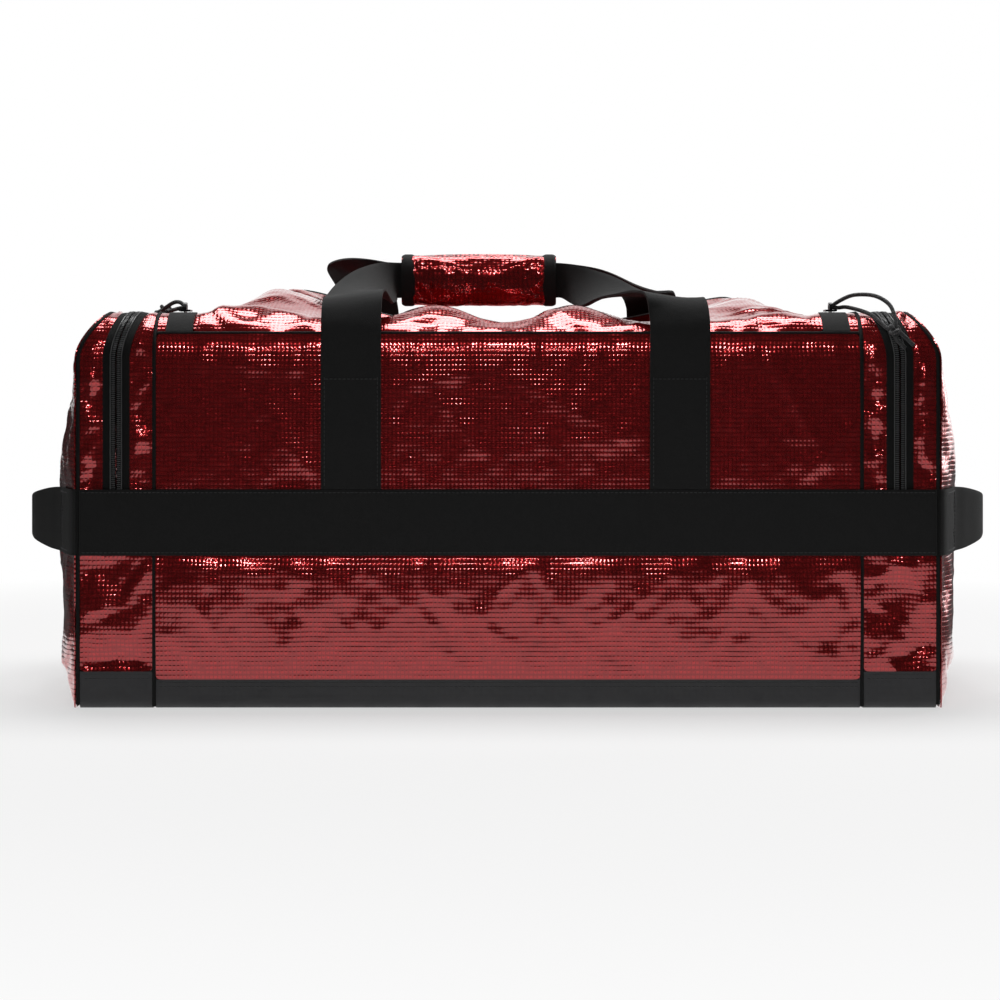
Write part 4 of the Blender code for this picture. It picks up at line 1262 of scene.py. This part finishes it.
def small_pattern(length, width, height, taper):
    """A short rounded bar, modelled once: a stitch, or one turn of a zip's coil."""
    bpy.ops.object.select_all(action="DESELECT")
    bpy.ops.mesh.primitive_cylinder_add(vertices=6, radius=0.5, depth=1.0, rotation=(0, math.pi / 2, 0))
    bar = bpy.context.object
    bpy.ops.object.transform_apply(location=False, rotation=True, scale=False)
    edit_whole(bar, (bpy.ops.mesh.subdivide, {"number_cuts": 1}))
    rows = points_of(bar)
    ends = np.abs(rows[:, 0]) > 0.4
    rows[ends, 1:] *= taper
    rows = rows * (length, width, height)
    place_points(bar, rows)
    return bar


def discard(obj):
    mesh = obj.data
    bpy.data.objects.remove(obj)
    bpy.data.meshes.remove(mesh)


class BAG_OT_zips(Operator):
    """Lays the zip tapes of the lid and pockets and their interlocked coils."""

    bl_idname = "bag.zips"
    bl_label = "Zips"

    def execute(self, context):
        tooth = context.scene.bag_sizes.tooth
        self.tooth = small_pattern(0.0036, tooth * 0.66, 0.0016, 0.62)
        lid_start = TOP_MIDDLE + SLIDER_Y + SLIDER_REACH
        halves = (("outer", 1, LID_SEAM + SEAM_HALF, "shell"), ("lid", -1, lid_start, "lid"))
        for name, sign, begin, body in halves:
            tape = tape_cloth(f"lid_zip_{name}_weave", self.lid_run(begin, sign))
            dress(tape, "zip tape", body, f"lid_zip_{name}_tape")
            self.coil(f"lid_zip_{name}_coil", self.lid_run(lid_start, sign), tooth, body, sign)
        for end, side in SIDES:
            self.garage(end, side)
            for name, sign, body in (("pocket", -1, "shell"), ("flap", 1, fold_line(end))):
                stop = TOTAL - ZIP_FOOT if sign < 0 else TOTAL - POCKET_SLIDER_Z - SLIDER_REACH
                d = np.arange(ZIP_FOOT, stop, ZIP_STEP)
                x = side * (POCKET_ZIP_X + sign * TAPE_NEAR)
                edge = side * (POCKET_ZIP_X + sign * TAPE_HALF)
                stops = list(zip(skin(x, d), skin(edge, d), skin_normal(x + 0 * d, d)))
                tape = tape_cloth(f"{end}_{name}_zip_weave", stops)
                dress(tape, "zip tape", body, f"{end}_{name}_zip_tape")
                self.coil(f"{end}_{name}_zip_coil", stops[: round(len(stops) * 0.992)], tooth, body, sign)
        discard(self.tooth)
        return {"FINISHED"}

    def lid_run(self, begin, sign):
        """Up the left side, along the rear and down the right side."""
        sides = np.arange(begin, LID_ZIP_END - ZIP_TURN, ZIP_STEP)
        rows = [(-LID_ZIP_X, d, 0.0, -1.0) for d in sides]
        rows.append((-LID_ZIP_X, LID_ZIP_END, 1.0, -1.0))
        rear = np.arange(-LID_ZIP_X + 0.018, LID_ZIP_X - 0.017, ZIP_STEP)
        rows += [(x, LID_ZIP_END, 1.0, 0.0) for x in rear]
        rows.append((LID_ZIP_X, LID_ZIP_END, 1.0, 1.0))
        rows += [(LID_ZIP_X, d, 0.0, 1.0) for d in sides[::-1]]
        near, far = sign * TAPE_NEAR, sign * TAPE_HALF
        stops = []
        for x, d, up, over in rows:
            inner = (x + over * near, d + up * near)
            outer = (x + over * far, d + up * far)
            stops.append((skin(*inner), skin(*outer), skin_normal(*map(np.array, inner))))
        return stops

    def coil(self, name, stops, tooth, body, sign):
        """One half's row of coil turns, and the sewn row beside it."""
        inner, outer, normal = (np.array(part) for part in zip(*stops))
        across = outer - inner
        across /= np.linalg.norm(across, axis=1, keepdims=True)
        line = inner + across * 0.0019 + normal * 0.0011
        spots, along, (over, up) = spaced(line, tooth, (across, normal))
        if sign < 0:
            spots = spots + along * tooth / 2
        over /= np.linalg.norm(over, axis=1, keepdims=True)
        made = scatter(name, self.tooth, spots, over, up)
        sewn = piping(f"{name}_row", inner + across * 0.0048 + normal * 0.0011, 0.0013)
        dress(sewn, "nylon coil with painted highlight", body)
        dress(made, "nylon coil with painted highlight", body)

    def garage(self, end, side):
        """The tape's closed front end, in front of the slider."""
        begin, stop = LID_SEAM + SEAM_HALF, TOP_MIDDLE + SLIDER_Y - 0.010

        def lay(u, v):
            x = side * LID_ZIP_X + (u - 0.5) * 2 * TAPE_HALF
            d = begin + (stop - begin) * v
            return skin(x, d, 0.0008), np.column_stack((u * 2 * TAPE_HALF, d - begin))

        patch = cut_cloth(f"{end}_zip_garage", 6, 10, lay)
        thicken(patch, 0.0012)
        dress(patch, "webbing weave", "shell")


def piping(name, line, thickness):
    """Bound seam edge along a line, with a rounded section."""
    made = cord_line(name, line, thickness)
    made.data.bevel_resolution = 2
    only(made)
    bpy.ops.object.convert(target="MESH")
    bpy.ops.object.shade_smooth()
    return bpy.context.object


class BAG_OT_seams(Operator):
    """Binds the seams between the panels."""

    bl_idname = "bag.seams"
    bl_label = "Bound seams"

    def execute(self, context):
        sunk = -0.0004
        x = np.linspace(-MAIN_X, MAIN_X, 60)
        made = piping("lid_seam_piping", skin(x, LID_SEAM + 0 * x, sunk), 0.0030)
        dress(made, "seam binding", "shell", "lid_seam_binding")
        for end, side in SIDES:
            d = np.linspace(0.002, TOTAL - 0.002, 150)
            made = piping(f"{end}_seam_piping", skin(side * SEAM_X + 0 * d, d, sunk), 0.0042)
            dress(made, "seam binding", "shell", f"{end}_seam_binding")
            d = np.linspace(0.004, TOTAL - 0.004, 190)
            made = piping(f"{end}_corner_piping", skin(side * CORNER_X + 0 * d, d, sunk), 0.0040)
            dress(made, "seam binding", fold_line(end), f"{end}_flap_binding", f"{end}_corner_binding")
        return {"FINISHED"}


def webbing(name, keys, steps, thickness, across=10):
    """Flat webbing through keys of centre, across direction and width."""
    rows = through(keys, steps)
    centre, over, wide = rows[:, :3], rows[:, 3:6], rows[:, 6]
    along = np.gradient(centre, axis=0)
    along /= np.linalg.norm(along, axis=1, keepdims=True)
    over = over - along * (over * along).sum(axis=1, keepdims=True)
    over /= np.linalg.norm(over, axis=1, keepdims=True)
    run = run_of(centre)
    last = len(rows) - 1

    def lay(u, v):
        i = np.rint(v * last).astype(int)
        share = (u - 0.5)[:, None]
        return centre[i] + over[i] * share * wide[i][:, None], np.column_stack((u * wide[i], run[i]))

    made = cut_cloth(name, across, last, lay)
    finish_with(made, "SOLIDIFY", thickness=thickness, offset=0.0)
    finish_with(made, "BEVEL", width=0.0007, segments=2, limit_method="ANGLE", angle_limit=math.radians(60))
    only(made)
    bpy.ops.object.shade_smooth_by_angle(angle=math.radians(40))
    return made


class BAG_OT_webbing(Operator):
    """Sews on the belt and grab handles and lays the carry handles over the lid."""

    bl_idname = "bag.webbing"
    bl_label = "Belt and handles"

    # Keys of a carry handle: share of the way back to the grip and in to the wrap, height, tilt and width.
    feet = {
        "front": (
            (0.0, 0.0, 0.3383, 0.0, 1.0),
            (0.0, 0.0, 0.36485, 0.0, 1.0),
            (0.012, 0.0, 0.38845, 0.0, 1.0),
        ),
        "rear": (
            (0.0, 0.0, 0.3383, 0.0, 1.0),
            (0.0, 0.0, 0.3737, 0.0, 1.0),
            (0.002, 0.0, 0.40025, 0.0, 1.0),
        ),
    }
    rises = {
        ("front", -1): (
            (0.07, 0.02, 0.4100, -0.10, 1.0), (0.20, 0.08, 0.4175, -0.10, 1.0),
            (0.42, 0.20, 0.4215, 0.25, 0.95),
            (0.66, 0.44, 0.4280, 0.75, 0.86), (0.88, 0.72, 0.4350, 1.15, 0.74),
            (0.985, 0.92, 0.4380, 1.5, 0.6333),
        ),
        ("front", 1): (
            (0.07, 0.03, 0.4090, -0.12, 1.0), (0.20, 0.12, 0.4140, -0.16, 1.0),
            (0.40, 0.28, 0.4160, -0.06, 0.97),
            (0.62, 0.50, 0.4195, 0.16, 0.86), (0.84, 0.74, 0.4270, 0.90, 0.74),
            (0.975, 0.93, 0.4365, 1.45, 0.6333),
        ),
        ("rear", -1): (
            (0.035, -0.10, 0.4250, 0.0, 1.0), (0.14, -0.36, 0.4430, 0.0, 1.0),
            (0.38, -0.58, 0.4530, 0.20, 0.92),
            (0.68, -0.30, 0.4500, 0.62, 0.80), (0.88, 0.15, 0.4425, 1.20, 0.70),
            (0.975, 0.80, 0.4380, 1.5, 0.6333),
        ),
        ("rear", 1): (
            (0.035, 0.02, 0.4230, 0.0, 1.0), (0.14, 0.10, 0.4320, 0.0, 1.0),
            (0.36, 0.26, 0.4305, 0.05, 0.95),
            (0.62, 0.48, 0.4280, 0.40, 0.86), (0.86, 0.72, 0.4325, 1.05, 0.74),
            (0.975, 0.93, 0.4375, 1.45, 0.6333),
        ),
    }

    def execute(self, context):
        thick = context.scene.bag_sizes.webbing
        face = HALF_DEPTH + BELT_LIFT + thick / 2
        stations = np.linspace(-POCKET_OUT, POCKET_OUT, 9)
        for name, sign in FACES:
            keys = [(x, sign * face, BELT_MIDDLE, 0, 0, -sign, BELT_WIDTH) for x in stations]
            made = webbing(f"{name}_belt_webbing", keys, 12, thick, 12)
            dress(made, "webbing weave", "shell", f"{name}_belt")
        self.carry("front", -1, GRIP_Y[0], thick)
        self.carry("rear", 1, GRIP_Y[1], thick)
        for end, side in SIDES:
            self.grab(end, side, thick)
        return {"FINISHED"}

    def carry(self, name, sign, grip_y, thick):
        """One length of webbing: sewn up the panel, over the lid, through the wrap and down again."""
        out = sign * (HALF_DEPTH + GAP + thick / 2)
        halves = []
        for side, x, mouth in ((-1, STRAPS[0], WRAP_X[0]), (1, STRAPS[1], WRAP_X[1])):
            rows = [(x, out, z, -side, 0, 0, STRAP_WIDTH) for z in (BELT_TOP + GAP, 0.25, 0.28, 0.31)]
            for share, inward, z, tilt, width in self.feet[name] + self.rises[name, side]:
                spot = x + inward * (mouth + side * 0.004 - x)
                y = out + share * (grip_y - out)
                rows.append((spot, y, z, -side * math.cos(tilt), 0, -math.sin(tilt), width * STRAP_WIDTH))
            for inside in (0.004, 0.010, 0.040):
                rows.append((mouth - side * inside, grip_y, WRAP_Z, 0, 0, -1, GRIP_WIDTH))
            halves.append(rows)
        made = webbing(f"{name}_handle_webbing", halves[0] + halves[1][::-1], 8, thick)
        sewn = "front" if sign < 0 else "back"
        fold = ("shell", f"{name}_handle", (0, 0, STITCH_Z - 0.007), (0, 0, STITCH_Z + 0.007))
        nodes = (f"{sewn}_left_strap", f"{sewn}_right_strap", f"{name}_handle_strap")
        dress(made, "webbing weave", fold, *nodes)

    def grab(self, end, side, thick):
        """A grab handle: the belt's webbing carried round the end and standing off it in a loop."""
        lift = thick / 2 + 0.0012
        tip = END_BASE + END_BULGE + 0.0358
        half = [(POCKET_OUT + 0.0030, 1.009 * HALF_DEPTH, BELT_WIDTH)]
        half.append((CORNER_X + 0.0052, 0.996 * HALF_DEPTH, BELT_WIDTH))
        for share in (0.965, 0.90, 0.80, 0.67):
            half.append((END_BASE + END_BULGE * (1 - share**2) + lift, share * HALF_DEPTH, BELT_WIDTH))
        foot = half[-1][0]
        widths = (0.93 * BELT_WIDTH, 0.74 * BELT_WIDTH, GRAB_WIDTH)
        for rise, share, width in zip((0.34, 0.76, 0.97), (0.54, 0.36, 0.15), widths):
            half.append((foot + rise * (tip - foot), share * HALF_DEPTH, width))
        whole = [(x, -y, width) for x, y, width in half] + [(tip, 0, GRAB_WIDTH)] + half[::-1]
        keys = [(side * x, y, BELT_MIDDLE, 0, 0, side, width) for x, y, width in whole]
        made = webbing(f"{end}_grab_webbing", keys, 8, thick)
        dress(made, "webbing weave", "shell", f"{end}_grab_handle")


class BAG_OT_wrap(Operator):
    """Pads the handle wrap, closes its rear flap and binds its ends."""

    bl_idname = "bag.wrap"
    bl_label = "Handle wrap"

    def execute(self, context):
        self.pad()
        self.flap()
        for name, start in (("left", 0.0), ("right", WRAP_LENGTH - WRAP_BINDING)):
            self.binding(name, WRAP_X[0] + start)
        return {"FINISHED"}

    def pad(self):
        """The padded cloth: from the rear's top lip over the top and the front to its bottom lip."""

        def lay(u, v):
            turn = math.pi * 0.5 + math.pi * np.clip((u - 0.2) / 0.6, 0, 1)
            flat = np.where(u < 0.2, (0.2 - u) / 0.2, np.where(u > 0.8, (u - 0.8) / 0.2, 0))
            y = -0.25 * WRAP_DEEP + 0.75 * WRAP_DEEP * power(np.cos(turn), 0.8)
            y = y + flat * (WRAP_LIP + 0.25 * WRAP_DEEP)
            z = WRAP_TALL * power(np.sin(turn), 0.72)
            middle = np.cos(np.pi * (v - 0.5))
            pull = 1 - 0.05 * (2 * v - 1) ** 8 + 0.02 * middle
            spots = (WRAP_X[0] + WRAP_LENGTH * v, y * pull, WRAP_Z + z * pull + 0.0015 * middle)
            return np.column_stack(spots), np.column_stack((u * 0.125, v * WRAP_LENGTH))

        pad = cut_cloth("wrap_pad", 40, 48, lay)
        slacken(pad, edges(cut_of(pad), 0.012), 0.02, 0.8, 71, 0.5)
        settle([pad], {"wrap_pad": 0.0025})
        finish_with(pad, "SUBSURF", levels=1, render_levels=1)
        crease(pad, 72, 12, 0.0016, 0.018, 0.3, 0.8)
        thicken(pad, 0.0050)
        dress(pad, "coated mesh", "front_handle", "handle_wrap")

    def flap(self):
        """The closing flap behind."""

        def lay(u, v):
            turn = math.pi * (u - 0.5)
            y = WRAP_LIP + 0.0005 + 0.0068 * np.abs(np.cos(turn)) ** 0.6
            z = WRAP_Z + WRAP_TALL * 0.985 * np.sin(turn)
            x = WRAP_X[0] + WRAP_LENGTH * v
            return np.column_stack((x, y, z)), np.column_stack((u * 0.06, v * WRAP_LENGTH))

        flap = cut_cloth("wrap_flap", 16, 48, lay)
        crease(flap, 73, 6, 0.0010, 0.02, 0.3, 0.8)
        thicken(flap, 0.0030)
        dress(flap, "coated mesh", "front_handle", "handle_wrap_flap")

    def binding(self, name, start):
        """The woven band round one end."""

        def lay(u, v):
            turn = 2 * math.pi * u
            y = 0.0004 + (WRAP_DEEP + 0.0004) * power(np.cos(turn), 0.75)
            z = (WRAP_TALL + 0.0006) * power(np.sin(turn), 0.72)
            roll = np.clip((0.004 - np.minimum(v, 1 - v) * WRAP_BINDING) / 0.004, 0, 1) ** 2
            shrink = 1 - 0.07 * roll
            spots = (start + WRAP_BINDING * v, y * shrink, WRAP_Z + z * shrink)
            return np.column_stack(spots), np.column_stack((u * 0.13, v * WRAP_BINDING))

        band = cut_cloth(f"wrap_{name}_binding", 56, 8, lay)
        join = (bpy.ops.mesh.remove_doubles, {"threshold": 0.00005})
        edit_whole(band, join, (bpy.ops.mesh.normals_make_consistent, {"inside": False}))
        thicken(band, 0.0014, 0.0)
        dress(band, "webbing weave", "front_handle")


class BAG_OT_sliders(Operator):
    """Enamels the zip sliders."""

    bl_idname = "bag.sliders"
    bl_label = "Zip sliders"

    def execute(self, context):
        for end, _ in SIDES:
            for kind in ("lid", "pocket"):
                coat(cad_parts[f"{end}_{kind}_slider"], "slider enamel")
        return {"FINISHED"}


class BAG_OT_stitching(Operator):
    """Runs the stitch lines of the belt, straps, skirts and handle feet."""

    bl_idname = "bag.stitching"
    bl_label = "Stitching"

    def execute(self, context):
        pitch, webbing = context.scene.bag_sizes.stitch, context.scene.bag_sizes.webbing
        self.thread = small_pattern(pitch * 0.74, 0.0009, 0.0008, 0.5)
        for name, sign in FACES:
            self.sew(f"{name}_stitching", self.face_lines(sign, webbing), (0, sign, 0), pitch)
            for end, side in SIDES:
                box = self.crossed_box(side, sign, BELT_LIFT + webbing)
                self.sew(f"{end}_{name}_foot_stitching", box, (side, 0, 0), pitch)
        discard(self.thread)
        return {"FINISHED"}

    def face_lines(self, sign, webbing):
        """Stitch lines of the front or the back: the belt, the straps and the skirts."""
        lifts = (BELT_LIFT + webbing, GAP + webbing, 0.0001)
        belt, strap, cloth = (sign * (HALF_DEPTH + lift) for lift in lifts)
        reach, rows = POCKET_OUT - 0.002, (BELT_BOTTOM + STITCH_INSET, BELT_TOP - STITCH_INSET)
        lines = [[(-reach, belt, z), (reach, belt, z)] for z in rows]
        foot, head, cross = BELT_TOP + STITCH_INSET, STITCH_Z - 0.008, STITCH_Z - 0.0085
        for x in STRAPS:
            left, right = x - STRAP_STITCH, x + STRAP_STITCH
            lines += [[(edge, strap, foot), (edge, strap, head)] for edge in (left, right)]
            lines.append([(left, strap, cross), (right, strap, cross)])
        skirts = [(-MAIN_X + STITCH_INSET, MAIN_X - STITCH_INSET, SKIRT)]
        for _, side in SIDES:
            near, far = POCKET_IN + STITCH_INSET, POCKET_OUT - STITCH_INSET
            skirts.append((side * near, side * far, END_SKIRT))
        for x0, x1, top in skirts:
            lines += [[(x0, cloth, z), (x1, cloth, z)] for z in (top - STITCH_INSET, top - 0.0075)]
        return lines

    def crossed_box(self, side, sign, lift):
        """The boxed cross that holds a grab handle's foot to the end."""
        share = np.linspace(0.93, 0.70, 9)
        x = side * (END_BASE + END_BULGE * (1 - share**2) + BELT_LIFT + lift)
        low, high = np.full(9, BELT_BOTTOM + 0.004), np.full(9, BELT_TOP - 0.004)
        rise = np.linspace(low[0], high[0], 9)
        lines = [np.column_stack((x, sign * share * HALF_DEPTH, z)) for z in (low, high, rise, rise[::-1])]
        for k in (0, -1):
            y = np.full(9, sign * share[k] * HALF_DEPTH)
            lines.append(np.column_stack((np.full(9, x[k]), y, rise)))
        return lines

    def sew(self, name, lines, normal, pitch):
        spots, along = [], []
        for line in lines:
            rows, way, _ = spaced(line, pitch)
            spots.append(rows)
            along.append(way)
        spots, along = np.concatenate(spots), np.concatenate(along)
        made = scatter(name, self.thread, spots, along, np.tile(np.array(normal, float), (len(spots), 1)))
        dress(made, "sewing thread", "shell")


class BAG_PT_panel(Panel):
    """Lists the bag's operators and settings."""

    bl_idname = "BAG_PT_panel"
    bl_label = "Hockey equipment bag"
    bl_space_type = "VIEW_3D"
    bl_region_type = "UI"
    bl_category = "Bag"

    def draw(self, context):
        for operator in OPERATORS:
            self.layout.operator(operator.bl_idname)
        for name, group in GROUPS:
            box = self.layout.box()
            for key in group.__annotations__:
                box.prop(getattr(context.scene, name), key)


OPERATORS = (
    BAG_OT_finishes,
    BAG_OT_stage,
    BAG_OT_cords,
    BAG_OT_panels,
    BAG_OT_base,
    BAG_OT_zips,
    BAG_OT_seams,
    BAG_OT_webbing,
    BAG_OT_wrap,
    BAG_OT_sliders,
    BAG_OT_stitching,
)
GROUPS = (("bag_sizes", BagSizes), ("bag_colours", BagColours), ("bag_stage", BagStage))
CLASSES = (*(group for _, group in GROUPS), *OPERATORS, BAG_PT_panel)


def register():
    for cls in CLASSES:
        bpy.utils.register_class(cls)
    for name, group in GROUPS:
        setattr(bpy.types.Scene, name, PointerProperty(type=group))


def unregister():
    for name, _ in GROUPS:
        delattr(bpy.types.Scene, name)
    for cls in reversed(CLASSES):
        bpy.utils.unregister_class(cls)


def main():
    register()
    bpy.ops.bag.finishes()
    bpy.ops.bag.stage()
    bpy.ops.bag.cords()
    bpy.ops.bag.panels()
    bpy.ops.bag.base()
    bpy.ops.bag.zips()
    bpy.ops.bag.seams()
    bpy.ops.bag.webbing()
    bpy.ops.bag.wrap()
    bpy.ops.bag.sliders()
    bpy.ops.bag.stitching()


if __name__ == "__main__":
    main()
